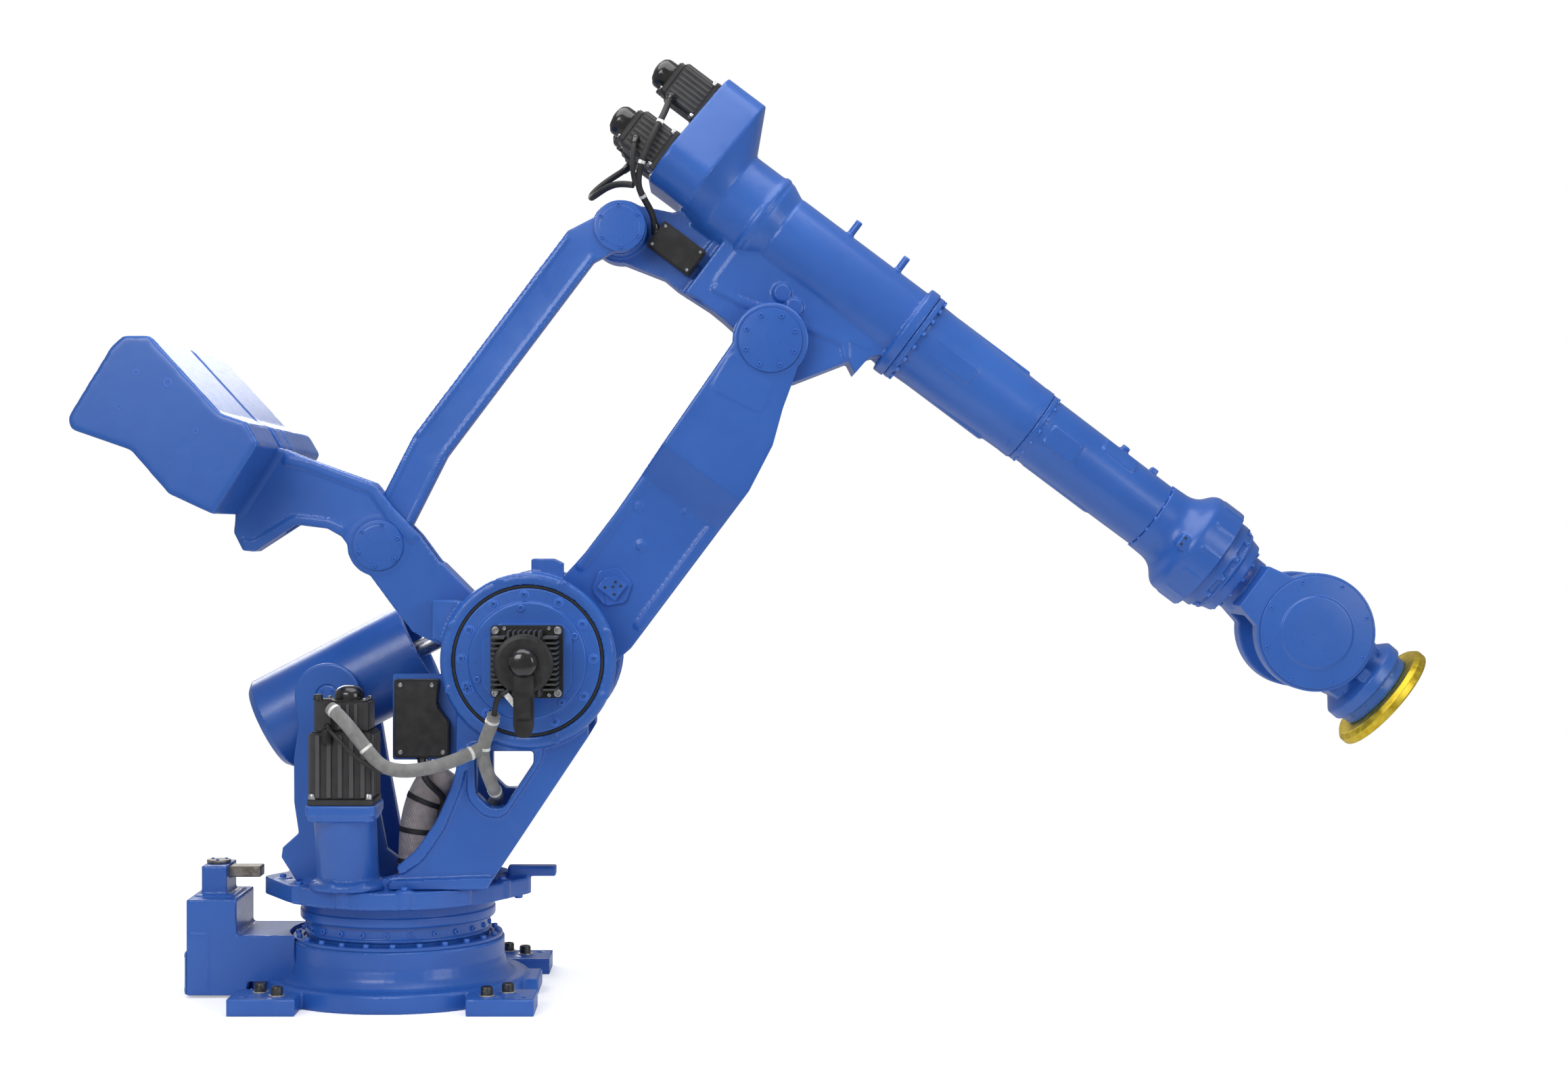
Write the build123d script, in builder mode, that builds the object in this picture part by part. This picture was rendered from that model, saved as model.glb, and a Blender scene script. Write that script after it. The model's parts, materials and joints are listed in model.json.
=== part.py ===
# Industrial robot arm, six axes, with a parallel link and a counterweight
# Millimetres. X points forward to the tool, Y to the far side, Z up.
# The origin is on the slew axis at floor level.
import os
from math import cos, radians, sin, tan

from build123d import *

os.makedirs("parts", exist_ok=True)

# Main axes of the machine, as it stands at rest
SHOULDER_X = 425.0
SHOULDER_Z = 1035.0
ARM_LENGTH = 1205.0
ARM_LEAN = 36.9
CRANK_LENGTH = 570.0
FOREARM_SLOPE = 36.9
AXIS_RISE = 285.0
WRIST_REACH = 1855.0
FLANGE_REACH = 335.0
WRIST_BEND = 3.5

# How far the lower arm swings back and forward, and what the balancer takes of it
ARM_BACK = 70.0
ARM_FORWARD = 38.0
BALANCER_RATIO = 0.32

# Clearances
RUNNING_GAP = 0.3
PIN_CLEARANCE = 0.08
SIDE_GAP = 10.0

# Layers across the machine, from the near side to the far side
FRAME_INNER = 245.0
FRAME_THICKNESS = 55.0
FRAME_OUTER = FRAME_INNER + FRAME_THICKNESS
LEVER_NEAR = -235.0
LEVER_PLATE = 30.0
LINK_NEAR = -198.0
LINK_THICKNESS = 56.0
LEVER_FAR = -110.0
LEVER_FAR_PLATE = 25.0
ARM_NEAR = -100.0
FORK_OUTER = 160.0
FORK_INNER = 105.0
CASTING_HALF = 98.0
EAR_NEAR = -136.0

# Foot plate and fixed barrel
PLATE_THICKNESS = 50.0
PLATE_RADIUS = 405.0
FOOT_X = 350.0
FOOT_Y = 345.0
FOOT_LENGTH = 200.0
FOOT_WIDTH = 170.0
PAD_REACH = 440.0
PAD_WIDTH = 180.0
BARREL_RADIUS = 328.0
BARREL_TOP = 170.0
ANCHOR_OUTER = (309.0, 385.0)
ANCHOR_INNER = (367.0, 330.0)
ANCHOR_HOLE = 13.5
OPEN_HOLE = 11.0
OPEN_HOLE_X = 410.0
OPEN_HOLE_Y = 390.0
RING_INNER = 290.0
RING_OUTER = 322.0
RING_HEIGHT = 10.0

# Cable box behind the barrel, and the slew stop on it
BOX_REAR = -627.0
BOX_FRONT = -475.0
BOX_HALF = 145.0
BOX_TOP = 300.0
BOX_BOTTOM = 8.0
SHELF_TOP = 191.0
STOP_BLOCK_REAR = -594.0
STOP_BLOCK_FRONT = -517.0
STOP_BLOCK_TOP = 393.0
STOP_BLOCK_HALF = 80.0
STOP_Z = 353.0
STOP_PLATE = 33.0
STOP_REACH = -421.0
STOP_HALF = 34.0
STOP_PIN_X = -556.0
STOP_PIN_RADIUS = 16.0
STOP_CAP_RADIUS = 37.0
STOP_CAP = 11.0
COVER_THICKNESS = 5.0
COVER_TOP = 143.0

# Turning housing and turntable
BAND_RADIUS = 280.0
BAND_TOP = 233.0
HOUSING_RADIUS = 296.0
HOUSING_TOP = 300.0
TABLE_RADIUS = 368.0
TABLE_TOP = 352.0
LOBE_RADIUS = 70.0
LOBE_REACH = 411.0
TAB_REACH = 489.0
TAB_HALF = 30.0
TAB_BOTTOM = 355.0
TAB_TOP = 385.0

# Shoulder frames
LEG_FOOT_REAR = -15.0
LEG_FRONT = ((602, 806), (338, 410), (300, TABLE_TOP))
LEG_OUTLINE = (
    (LEG_FOOT_REAR, TABLE_TOP), (LEG_FOOT_REAR, 383), (46, 398), (85, 432), (153, 525), (197, 618), (209, 648),
    (209, 900), (602, 900), *LEG_FRONT,
)
LEG_WINDOW = ((270, 765), (270, 640), (311, 599), (352, 599), (440, 731), (440, 765))
HUB_LUGS = (
    ((433, 1270), (433, 1338), (500, 1338), (528, 1325), (528, 1245)),
    ((193, 1080), (137, 1100), (137, 1215), (207, 1215), (262, 1205)),
    ((650, 890), (690, 900), (728, 940), (738, 1000), (722, 1070), (690, 1087), (660, 1100)),
)
HUB_RADIUS = 256.0
HUB_RING = 30.0
HUB_WINDOW = 226.0
DRIVE_BORE = 150.0
WEB_THICKNESS = 30.0
LEG_TOP_RADIUS = 100.0
REAR_LEG_BACK = ((-300, TABLE_TOP), (-345, 423), (-341, 453), (-292, 497), (-306, 590), (-307, 723), (-294, 821))
REAR_LEG_FRONT = ((-70, 700), (-23, 450), (46, 398), (46, TABLE_TOP))
NEAR_LEG_OUTER = -105.0
NEAR_LEG_THICKNESS = 35.0
FOOT_SWEEP = 413.0
FOOT_SWEEP_TOP = 396.0

# Shoulder drives
DRIVE_RADIUS = 220.0
DRIVE_FACE = 175.0
DRIVE_PLATE_HALF = 132.0
DRIVE_STEP = 10.0
MOTOR_HALF = 108.0
MOTOR_LENGTH = 190.0
MOTOR_BODY_RADIUS = 96.0
MOTOR_BASE = 18.0
MOTOR_CAP = 42.0
MOTOR_CAP_RADIUS = 45.0
PLUG_WIDTH = 60.0
PLUG_HEIGHT = 190.0
PLUG_DEPTH = 22.0
PLUG_DROP = 125.0
PLUG_CORNER = 8.0
LEVER_HUB_RADIUS = 200.0
ARM_HUB_RADIUS = 215.0
BOSS_RADIUS = 140.0

# Slew motor
SLEW_MOTOR_X = -115.0
SLEW_MOTOR_Y = -345.0
SLEW_MOTOR_HALF = 98.0
SLEW_BRACKET_Z = 588.0
SLEW_BRACKET_PLATE = 30.0
SLEW_BRACKET_MARGIN = 5.0
SLEW_BRACKET_CORNER = 14.0
SLEW_MOTOR_BASE = 18.0
SLEW_MOTOR_STEP = 7.0
SLEW_MOTOR_CHAMFER = 24.0
SLEW_CAP_CHAMFER = 14.0
SLEW_CORNER = 12.0
DOME_TAPER = 12.0
SLEW_MOTOR_TOP = 836.0
SLEW_MOTOR_CAP = 929.0
SLEW_MOTOR_CAP_HALF = 78.0
SLEW_MOTOR_DOME = 44.0
SLEW_MOTOR_DOME_TOP = 966.0
SLEW_PLUG_HEIGHT = 95.0
SLEW_PLUG_WIDTH = 56.0
SLEW_PLUG_DEPTH = 24.0
SLEW_FOOT_RADIUS = 92.0
SLEW_FOOT_Y = -255.0

# Junction box on its plate
JUNCTION_PLATE = ((14, 735), (14, 992), (215, 992), (225, 960), (215, 735))
JUNCTION_BOX = ((24, 745), (24, 978), (158, 978), (150, 900), (188, 850), (188, 745))
JUNCTION_PLATE_THICKNESS = 5.0
JUNCTION_BOX_DEPTH = 56.0

# Balancer
TRUNNION_X = -205.0
TRUNNION_Z = 916.0
BALANCER_TILT = 27.4
BALANCER_Y = 85.0
BALANCER_RADIUS = 150.0
BALANCER_WALL = 22.0
BALANCER_REAR = 238.0
BALANCER_FRONT = 300.0
BALANCER_EDGE = 20.0
TRUNNION_RADIUS = 35.0
ROD_PIN_RADIUS_FROM_SHOULDER = 227.0
ROD_PIN_AHEAD = 100.5
ROD_RADIUS = 28.0
ROD_LENGTH = 450.0
ROD_EYE_RADIUS = 55.0
ROD_EYE_WIDTH = 62.0
ROD_PIN_RADIUS = 26.0
LUG_RADIUS = 62.0
LUG_PLATE = 30.0
EYE_GAP = 5.0
EYE_POCKET_RADIUS = 115.0
ROD_RELIEF_LENGTH = 400.0
ROD_RELIEF_WIDTH = 240.0

# Lever and counterweight
LEVER_PIN_BOSS = 92.0
LINK_PIN_RADIUS = 38.0
LINK_PIN_CAP = 75.0
LINK_SLOT_NEAR = LEVER_NEAR + LEVER_PLATE
LINK_SLOT_FAR = LEVER_FAR - LEVER_FAR_PLATE
LINK_FOLD_GAP = 8.0
CAP_THICKNESS = 8.0
LEVER_OUTLINE = (
    (-213, 260), (-15, 188), (51, 107), (123, 32), (207, -82), (320, -180), (250, -330), (105, -262), (39, -178),
    (-111, 26), (-153, 50), (-249, 62), (-374, -19), (-407, -16), (-434, 38),
)
LEVER_FRONT_WEB = ((190, -50), (300, -160), (330, -290), (200, -250), (110, -200))
LEVER_REAR_WEB = ((-262, 280), (-290, 40), (-374, -19), (-407, -16), (-434, 38))
WEIGHT_UPPER = ((-689, 606), (-614, 606), (-411, 383), (-337, 358))
WEIGHT_LOWER = ((-560, 150), (-669, 276), (-842, 336), (-850, 370), (-723, 578))
WEIGHT_HALF = 560.0
WEIGHT_GROOVE = 22.0
WEIGHT_REBATE = 40.0
WEIGHT_SEAT_UPPER = (-300.0, 294.0)
WEIGHT_SEAT_LOWER = (-430.0, 90.0)

# Link bar
LINK_WIDTH = 120.0
LINK_END_RADIUS = 77.0
LINK_KNEES = ((0, 0), (151, 299), (605, 902))

# Lower arm
ARM_OUTLINE = (
    (0, 74), (262, 74), (400, 61), (ARM_LENGTH, 92), (ARM_LENGTH, -110), (1141, -131), (1064, -154), (955, -197),
    (800, -223), (200, -223), (0, -180),
)
ARM_TAIL = -400.0
ARM_BRACKET_PLACE = (317, -64)
ARM_BRACKET_RADIUS = 62.0
ARM_BRACKET_HEIGHT = 14.0
ARM_STEP_START = 640.0
ARM_STEP_END = 760.0
ELBOW_RADIUS = 114.0
ELBOW_PIN_RADIUS = 62.0
ELBOW_CAP_RADIUS = 97.0
FORK_DEPTH = 292.0

# Forearm
KEEL_OUTLINE = (
    (-300, 250), (-300, -36), (-256, -26), (-151, -30), (-104, -35), (-68, -77), (0, -100), (60, -90), (134, -54),
    (228, 97), (266, 78), (271, 146), (300, 180), (300, 250),
)
EAR_OUTLINE = (
    (-200, 300), (-345, 308), (-479, 141), (-610, 80), (-650, 0), (-CRANK_LENGTH, -90), (-377, -36), (-325, -39),
    (-200, -30),
)
EAR_HALF = 60.0
EAR_RADIUS = 97.0
EAR_BOSS_RADIUS = 80.0
TUBE_RADIUS = 154.0
NECK_RADIUS = 135.0
COLLAR_START = -409.0
COLLAR_END = -230.0
NECK_START = -180.0
NECK_STEP = 5.0
FRONT_FLANGE_RADIUS = 152.0
FRONT_FLANGE_START = 312.0
FRONT_FLANGE_END = 337.0
MOTOR_FACE = -591.0
HOUSING_FRONT = -449.0
HOUSING_NOSE = -376.0
LOWER_BOSS_RADIUS = 98.0
UPPER_BOSS_RADIUS = 108.0
LOWER_MOTOR_DROP = -20.0
LOWER_MOTOR_SIDE = 122.0
UPPER_MOTOR_RISE = 188.0
WRIST_MOTOR_HALF = 72.0
WRIST_MOTOR_LENGTH = 205.0
WRIST_MOTOR_BASE = 16.0
WRIST_MOTOR_STEP = 7.0
WRIST_MOTOR_CHAMFER = 18.0
WRIST_MOTOR_CORNER = 10.0
WRIST_MOTOR_CAP = 60.0
WRIST_CAP_RADIUS = 50.0
FOREARM_BOX_CENTRE = (-400, 56)
FOREARM_BOX_SIZE = (164, 98)
FOREARM_BOX_DEPTH = 58.0
FIRST_COLLAR = (20.0, 148.0)
FIRST_TUBE_RADII = (132.0, 120.0)
FIRST_TUBE_RING = (30.0, 121.0)
FIRST_TUBE_END = 800.0
SECOND_COLLAR = (18.0, 118.0)
SECOND_TUBE_RADII = (112.0, 109.0)
SECOND_TUBE_END = 1265.0
BULB_NECK_RADIUS = 114.0
BULB_CURVE = ((1310, 116), (1360, 136), (1405, 171))
BULB_END = 1490.0
BULB_RADIUS = 173.0
POST_RADIUS = 12.0
POST_TOP = 472.0
POST_STATIONS = (-3.0, 181.0)

# Wrist
ROLL_RING_RADIUS = 150.0
ROLL_RING_END = 1524.0
ROLL_CONE_RADII = (138.0, 122.0)
ROLL_NECK_RADII = (94.0, 92.0)
ROLL_CONE_END = 1588.0
ROLL_NECK_END = 1640.0
DRUM_RADIUS = 180.0
DRUM_INNER = 100.0
WRIST_SLOT = 210.0
DRUM_OUTER = 168.0
DRUM_DISC_RADIUS = 104.0
YOKE_START = 1620.0
YOKE_HALF = (75.0, 125.0)
WRIST_COVER_RADIUS = 176.0
WRIST_COVER_STEP = 6.0
BEND_CORE_RADIUS = 128.0
BEND_CORE_END = 98.0
BEND_BODY_RADIUS = 140.0
BEND_BODY_START = 188.0
BEND_BODY_NOSE = 100.0
BEND_BODY_FULL = 226.0
BEND_RING_RADIUS = 127.0
BEND_RING_LENGTH = 37.0
BEND_HUB_RADIUS = 90.0
TOOL_FLANGE_RADIUS = 180.0
TOOL_FLANGE_THICKNESS = 38.0
TOOL_FLANGE_CHAMFER = 12.0
TOOL_BOLT_CIRCLE = 250.0
TOOL_BOLT_COUNT = 12
TOOL_BOLT_HOLE = 8.5
TOOL_BORE = 80.0
TOOL_BORE_DEPTH = 25.0

# Cables and harness
ARC_SHARE = 0.45
SLEEVE = 40.0
LEAD = 16.0
THIN_LEAD = 12.0
BUNDLE = 120.0
FOREARM_CABLE = 20.0
MOTOR_SLEEVE_ROUTE = (
    (-140, -452, 905), (-112, -474, 885), (-73, -478, 840), (-21, -478, 772), (12, -474, 736), (65, -458, 720),
    (131, -435, 724), (204, -400, 742), (258, -372, 764), (290, -353, 779),
)
DROP_SLEEVE_ROUTE = (
    (331, -398, 880), (322, -378, 848), (302, -358, 805), (292, -349, 765), (302, -340, 715), (318, -322, 668),
    (326, -280, 640), (327, -225, 625), (310, -185, 595), (275, -165, 540), (250, -160, 480), (240, -158, 415),
    (238, -157, 352),
)
NEAR_MOTOR_LEAD_ROUTE = (
    (331, -398, 880), (335, -407, 900), (340, -420, 922), (352, -432, 945), (375, -434, 962),
)
SLEW_MOTOR_LEAD_ROUTE = (
    (-150, -446, 850), (-138, -470, 838), (-112, -487, 815), (-78, -490, 780), (-42, -490, 750), (-8, -484, 728),
    (14, -474, 718),
)
BOX_LEAD_ROUTE = (
    (104, -273, 745), (105, -272, 710), (116, -258, 672), (142, -236, 645), (165, -220, 618), (160, -205, 585),
    (140, -195, 560), (120, -190, 535),
)
INNER_HARNESS_ROUTE = (
    (80, -174, 352), (80, -174, 440), (84, -174, 520), (98, -174, 590), (124, -172, 645), (160, -168, 700),
)
UPPER_CABLE_ROUTE = (
    (-693, 420, -70), (-692, 408, -92), (-680, 384, -136), (-667, 348, -184), (-655, 290, -213),
    (-645, 242, -217), (-634, 200, -216), (-618, 160, -208), (-596, 128, -190), (-562, 112, -164),
    (-525, 98, -128), (-500, 78, -98), (-480, 60, -90),
)
NEAR_CABLE_ROUTE = (
    (-690, 240, -190), (-684, 225, -207), (-668, 200, -217), (-650, 172, -220), (-630, 148, -214),
    (-606, 128, -196),
)
FAR_CABLE_ROUTE = (
    (-690, 196, 115), (-694, 170, 105), (-706, 130, 80), (-716, 80, 40), (-716, 40, -10), (-706, 24, -60),
    (-694, 40, -105), (-676, 78, -140), (-648, 108, -168), (-612, 124, -190),
)

# Directions and joint centres in the X and Z plane
lean = radians(ARM_LEAN)
slope = radians(FOREARM_SLOPE)
ELBOW_X = SHOULDER_X + ARM_LENGTH * sin(lean)
ELBOW_Z = SHOULDER_Z + ARM_LENGTH * cos(lean)
LINK_LOW_X = SHOULDER_X - CRANK_LENGTH * cos(slope)
LINK_LOW_Z = SHOULDER_Z + CRANK_LENGTH * sin(slope)
rod_pin_angle = radians(90 - ARM_LEAN + ROD_PIN_AHEAD)
ROD_PIN_X = SHOULDER_X + ROD_PIN_RADIUS_FROM_SHOULDER * cos(rod_pin_angle)
ROD_PIN_Z = SHOULDER_Z + ROD_PIN_RADIUS_FROM_SHOULDER * sin(rod_pin_angle)


def side(y, x=0.0, z=0.0, angle=0.0):
    """Upright plane at y, its own x turned up from forward by angle, its normal to the near side."""
    turned = (cos(radians(angle)), 0, sin(radians(angle)))
    return Plane(origin=(x, y, z), x_dir=turned, z_dir=(0, -1, 0))


def arm(y):
    """Plane with x along the lower arm from the shoulder and y to its rear side."""
    return side(y, SHOULDER_X, SHOULDER_Z, 90 - ARM_LEAN)


def forearm(y):
    """Plane with x along the forearm from the elbow and y to its upper side."""
    return side(y, ELBOW_X, ELBOW_Z, -FOREARM_SLOPE)


def forearm_across(along):
    """Plane square to the forearm axis, with x to the near side and y to its upper side."""
    centre = forearm(0).from_local_coords((along, AXIS_RISE, 0))
    normal = forearm(0).x_dir
    return Plane(origin=centre, x_dir=(0, -1, 0), z_dir=(-normal.X, 0, -normal.Z))


def wrist(y):
    """Plane at the bend axis with x along the tool axis."""
    centre = forearm(y).from_local_coords((WRIST_REACH, AXIS_RISE, 0))
    return side(y, centre.X, centre.Z, -FOREARM_SLOPE - WRIST_BEND)


def tube(points, diameter):
    """Round tube along straight runs joined by tangent arcs, each as large as its two runs allow."""
    corners = [Vector(*point) for point in points]
    radii = []
    for before, corner, after in zip(corners, corners[1:], corners[2:]):
        run = min((before - corner).length, (after - corner).length)
        half_turn = radians((corner - before).get_angle(after - corner) / 2)
        radii.append(ARC_SHARE * run / tan(half_turn))
    print("radii over diameter", [round(radius / diameter, 1) for radius in radii])
    with BuildPart() as swept:
        with BuildLine() as path:
            FilletPolyline(*corners, radius=radii)
        with BuildSketch(Plane(origin=path.line @ 0, z_dir=path.line % 0)):
            Circle(diameter / 2)
        sweep()
    return swept


def on_forearm(points):
    """Points given along the forearm, above it and across the machine, in the machine's frame."""
    return [tuple(forearm(y).from_local_coords((along, rise, 0))) for along, rise, y in points]


def save(piece, name):
    piece.part.label = name
    export_step(piece.part, "parts/" + name + ".step")


FOREARM_AXIS = Axis(
    tuple(forearm(0).from_local_coords((0, AXIS_RISE, 0))), tuple(forearm(0).x_dir)
)
TOOL_AXIS = Axis(tuple(wrist(0).origin), tuple(wrist(0).x_dir))


# Base

with BuildPart() as base_frame:
    with BuildSketch():
        Circle(PLATE_RADIUS)
        with GridLocations(2 * FOOT_X, 2 * FOOT_Y, 2, 2):
            Rectangle(FOOT_LENGTH, FOOT_WIDTH)
        Rectangle(2 * PAD_REACH, PAD_WIDTH)
    extrude(amount=PLATE_THICKNESS)
    with BuildSketch(Plane.XY.offset(PLATE_THICKNESS)):
        Circle(BARREL_RADIUS)
    extrude(amount=BARREL_TOP - PLATE_THICKNESS)
    for anchor_x, anchor_y in (ANCHOR_OUTER, ANCHOR_INNER):
        with Locations((0, 0, PLATE_THICKNESS)):
            with GridLocations(2 * anchor_x, 2 * anchor_y, 2, 2):
                Hole(ANCHOR_HOLE, PLATE_THICKNESS)
    with Locations((0, 0, PLATE_THICKNESS)):
        with GridLocations(2 * OPEN_HOLE_X, 2 * OPEN_HOLE_Y, 2, 2):
            Hole(OPEN_HOLE, PLATE_THICKNESS)
save(base_frame, "base_frame")

with BuildPart() as base_ring:
    with BuildSketch(Plane.XY.offset(BARREL_TOP)):
        Circle(RING_OUTER)
        Circle(RING_INNER, mode=Mode.SUBTRACT)
    extrude(amount=RING_HEIGHT)
save(base_ring, "base_ring")

with BuildPart() as cable_box:
    with BuildSketch(side(BOX_HALF)):
        with BuildLine():
            Polyline(
                (BOX_REAR, BOX_BOTTOM), (BOX_REAR, BOX_TOP), (BOX_FRONT, BOX_TOP), (BOX_FRONT, SHELF_TOP),
                (0, SHELF_TOP), (0, PLATE_THICKNESS), (-PAD_REACH, PLATE_THICKNESS),
                (-PAD_REACH - SIDE_GAP, BOX_BOTTOM), close=True,
            )
        make_face()
    extrude(amount=2 * BOX_HALF)
    with BuildSketch(side(STOP_BLOCK_HALF)):
        with BuildLine():
            Polyline(
                (STOP_BLOCK_REAR, BOX_TOP), (STOP_BLOCK_REAR, STOP_BLOCK_TOP),
                (STOP_BLOCK_FRONT, STOP_BLOCK_TOP), (STOP_BLOCK_FRONT, BOX_TOP), close=True,
            )
        make_face()
    extrude(amount=2 * STOP_BLOCK_HALF)
    with Locations(Plane.XY):
        Cylinder(BARREL_RADIUS + RUNNING_GAP, 4 * BOX_TOP, mode=Mode.SUBTRACT)
    # The slot that holds the stop plate
    with BuildSketch(Plane.XY.offset(STOP_Z)):
        with Locations(((STOP_BLOCK_REAR + STOP_BLOCK_FRONT) / 2 + SIDE_GAP, 0)):
            Rectangle(STOP_BLOCK_FRONT - STOP_BLOCK_REAR, 2 * STOP_HALF + RUNNING_GAP)
    extrude(amount=STOP_PLATE, mode=Mode.SUBTRACT)
    with Locations((STOP_PIN_X, 0, STOP_BLOCK_TOP)):
        Hole(STOP_PIN_RADIUS + PIN_CLEARANCE, STOP_BLOCK_TOP - STOP_Z + STOP_PLATE)
save(cable_box, "cable_box")

with BuildPart() as slew_stop:
    with BuildSketch(Plane.XY.offset(STOP_Z)):
        with BuildLine():
            rear = STOP_BLOCK_REAR + 2 * SIDE_GAP
            Polyline(
                (rear, -STOP_HALF), (STOP_REACH, -STOP_HALF), (STOP_REACH, STOP_HALF), (rear, STOP_HALF),
                close=True,
            )
        make_face()
    extrude(amount=STOP_PLATE)
    with Locations((STOP_PIN_X, 0, (STOP_Z + STOP_BLOCK_TOP) / 2)):
        Cylinder(STOP_PIN_RADIUS, STOP_BLOCK_TOP - STOP_Z)
    with BuildSketch(Plane.XY.offset(STOP_BLOCK_TOP)):
        with Locations((STOP_PIN_X, 0)):
            Circle(STOP_CAP_RADIUS)
    extrude(amount=STOP_CAP)
save(slew_stop, "slew_stop")

with BuildPart() as box_cover:
    with BuildSketch(side(BOX_HALF)):
        with BuildLine():
            Polyline(
                (BOX_REAR, BOX_BOTTOM), (BOX_REAR - COVER_THICKNESS, BOX_BOTTOM),
                (BOX_REAR - COVER_THICKNESS, COVER_TOP), (BOX_REAR, COVER_TOP), close=True,
            )
        make_face()
    extrude(amount=2 * BOX_HALF)
save(box_cover, "box_cover")

# Turning part above the bearing

with BuildPart() as slew_housing:
    with BuildSketch(Plane.XY.offset(BARREL_TOP + RUNNING_GAP)):
        Circle(BAND_RADIUS)
    extrude(amount=BAND_TOP - BARREL_TOP - RUNNING_GAP)
    with BuildSketch(Plane.XY.offset(BAND_TOP)):
        Circle(HOUSING_RADIUS)
    extrude(amount=HOUSING_TOP - BAND_TOP)
save(slew_housing, "slew_housing")

with BuildPart() as turntable:
    with BuildSketch(Plane.XY.offset(HOUSING_TOP)):
        Circle(TABLE_RADIUS)
        with Locations((LOBE_REACH - LOBE_RADIUS, 0), (LOBE_RADIUS - LOBE_REACH, 0)):
            Circle(LOBE_RADIUS)
        make_hull()
    extrude(amount=TABLE_TOP - HOUSING_TOP)
    with BuildSketch(side(TAB_HALF)):
        with BuildLine():
            Polyline(
                (LOBE_REACH - LOBE_RADIUS, TABLE_TOP), (LOBE_REACH - LOBE_RADIUS, TAB_TOP),
                (TAB_REACH, TAB_TOP), (TAB_REACH, TAB_BOTTOM), (LOBE_REACH, TAB_BOTTOM),
                (LOBE_REACH - SIDE_GAP, TABLE_TOP), close=True,
            )
        make_face()
    extrude(amount=2 * TAB_HALF)
save(turntable, "turntable")


def front_leg(y_far):
    """Front leg of a side frame with its window and the bore of the shoulder drive."""
    with BuildPart() as leg:
        with BuildSketch(side(y_far)):
            with BuildLine():
                Polyline(*LEG_OUTLINE, close=True)
            make_face()
            with Locations((SHOULDER_X, SHOULDER_Z)):
                Circle(HUB_RADIUS)
            with BuildLine():
                Polyline(*LEG_WINDOW, close=True)
            make_face(mode=Mode.SUBTRACT)
            with Locations((SHOULDER_X, SHOULDER_Z)):
                Circle(DRIVE_BORE, mode=Mode.SUBTRACT)
        extrude(amount=FRAME_THICKNESS)
    return leg.part


def beyond_stop():
    """The ring-shaped space that the slew stop passes through as the frames turn."""
    with BuildPart() as space:
        with BuildSketch(Plane.XY.offset(TABLE_TOP)):
            Circle(2 * FOOT_SWEEP)
            Circle(FOOT_SWEEP, mode=Mode.SUBTRACT)
        extrude(amount=FOOT_SWEEP_TOP - TABLE_TOP)
    return space.part


def hub_ring(sign):
    """Raised rim round the shoulder hub on the outer face."""
    with BuildPart() as ring:
        with BuildSketch(side(sign * FRAME_OUTER, SHOULDER_X, SHOULDER_Z)):
            Circle(HUB_RADIUS)
            Circle(HUB_WINDOW, mode=Mode.SUBTRACT)
        extrude(amount=-sign * HUB_RING)
    return ring.part


def rear_leg(y_far, thickness):
    """Rear leg that carries a trunnion of the balancer."""
    with BuildPart() as leg:
        with BuildSketch(side(y_far)):
            with BuildLine():
                Polyline(
                    *REAR_LEG_BACK, (TRUNNION_X - LEG_TOP_RADIUS, TRUNNION_Z),
                    (TRUNNION_X + LEG_TOP_RADIUS, TRUNNION_Z), *REAR_LEG_FRONT, close=True,
                )
            make_face()
            with Locations((TRUNNION_X, TRUNNION_Z)):
                Circle(LEG_TOP_RADIUS)
                Circle(TRUNNION_RADIUS + PIN_CLEARANCE, mode=Mode.SUBTRACT)
        extrude(amount=thickness)
    return leg


with BuildPart() as near_frame:
    add(front_leg(-FRAME_INNER))
    add(hub_ring(-1))
    with BuildSketch(side(-FRAME_INNER)):
        for lug in HUB_LUGS:
            with BuildLine():
                Polyline(*lug, close=True)
            make_face()
        with Locations((SHOULDER_X, SHOULDER_Z)):
            Circle(HUB_WINDOW, mode=Mode.SUBTRACT)
    extrude(amount=FRAME_THICKNESS)
    add(beyond_stop(), mode=Mode.SUBTRACT)
save(near_frame, "near_frame")

with BuildPart() as far_frame:
    add(front_leg(FRAME_OUTER))
    add(hub_ring(1))
    add(rear_leg(FRAME_OUTER, FRAME_THICKNESS).part)
    add(beyond_stop(), mode=Mode.SUBTRACT)
save(far_frame, "far_frame")

trunnion_leg = rear_leg(NEAR_LEG_OUTER + NEAR_LEG_THICKNESS, NEAR_LEG_THICKNESS)
save(trunnion_leg, "trunnion_leg")

with BuildPart() as front_web:
    with BuildSketch(side(FRAME_INNER)):
        with BuildLine():
            Polyline(*LEG_FRONT, *[(x - WEB_THICKNESS, z) for x, z in reversed(LEG_FRONT)], close=True)
        make_face()
    extrude(amount=2 * FRAME_INNER)
save(front_web, "front_web")


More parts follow.
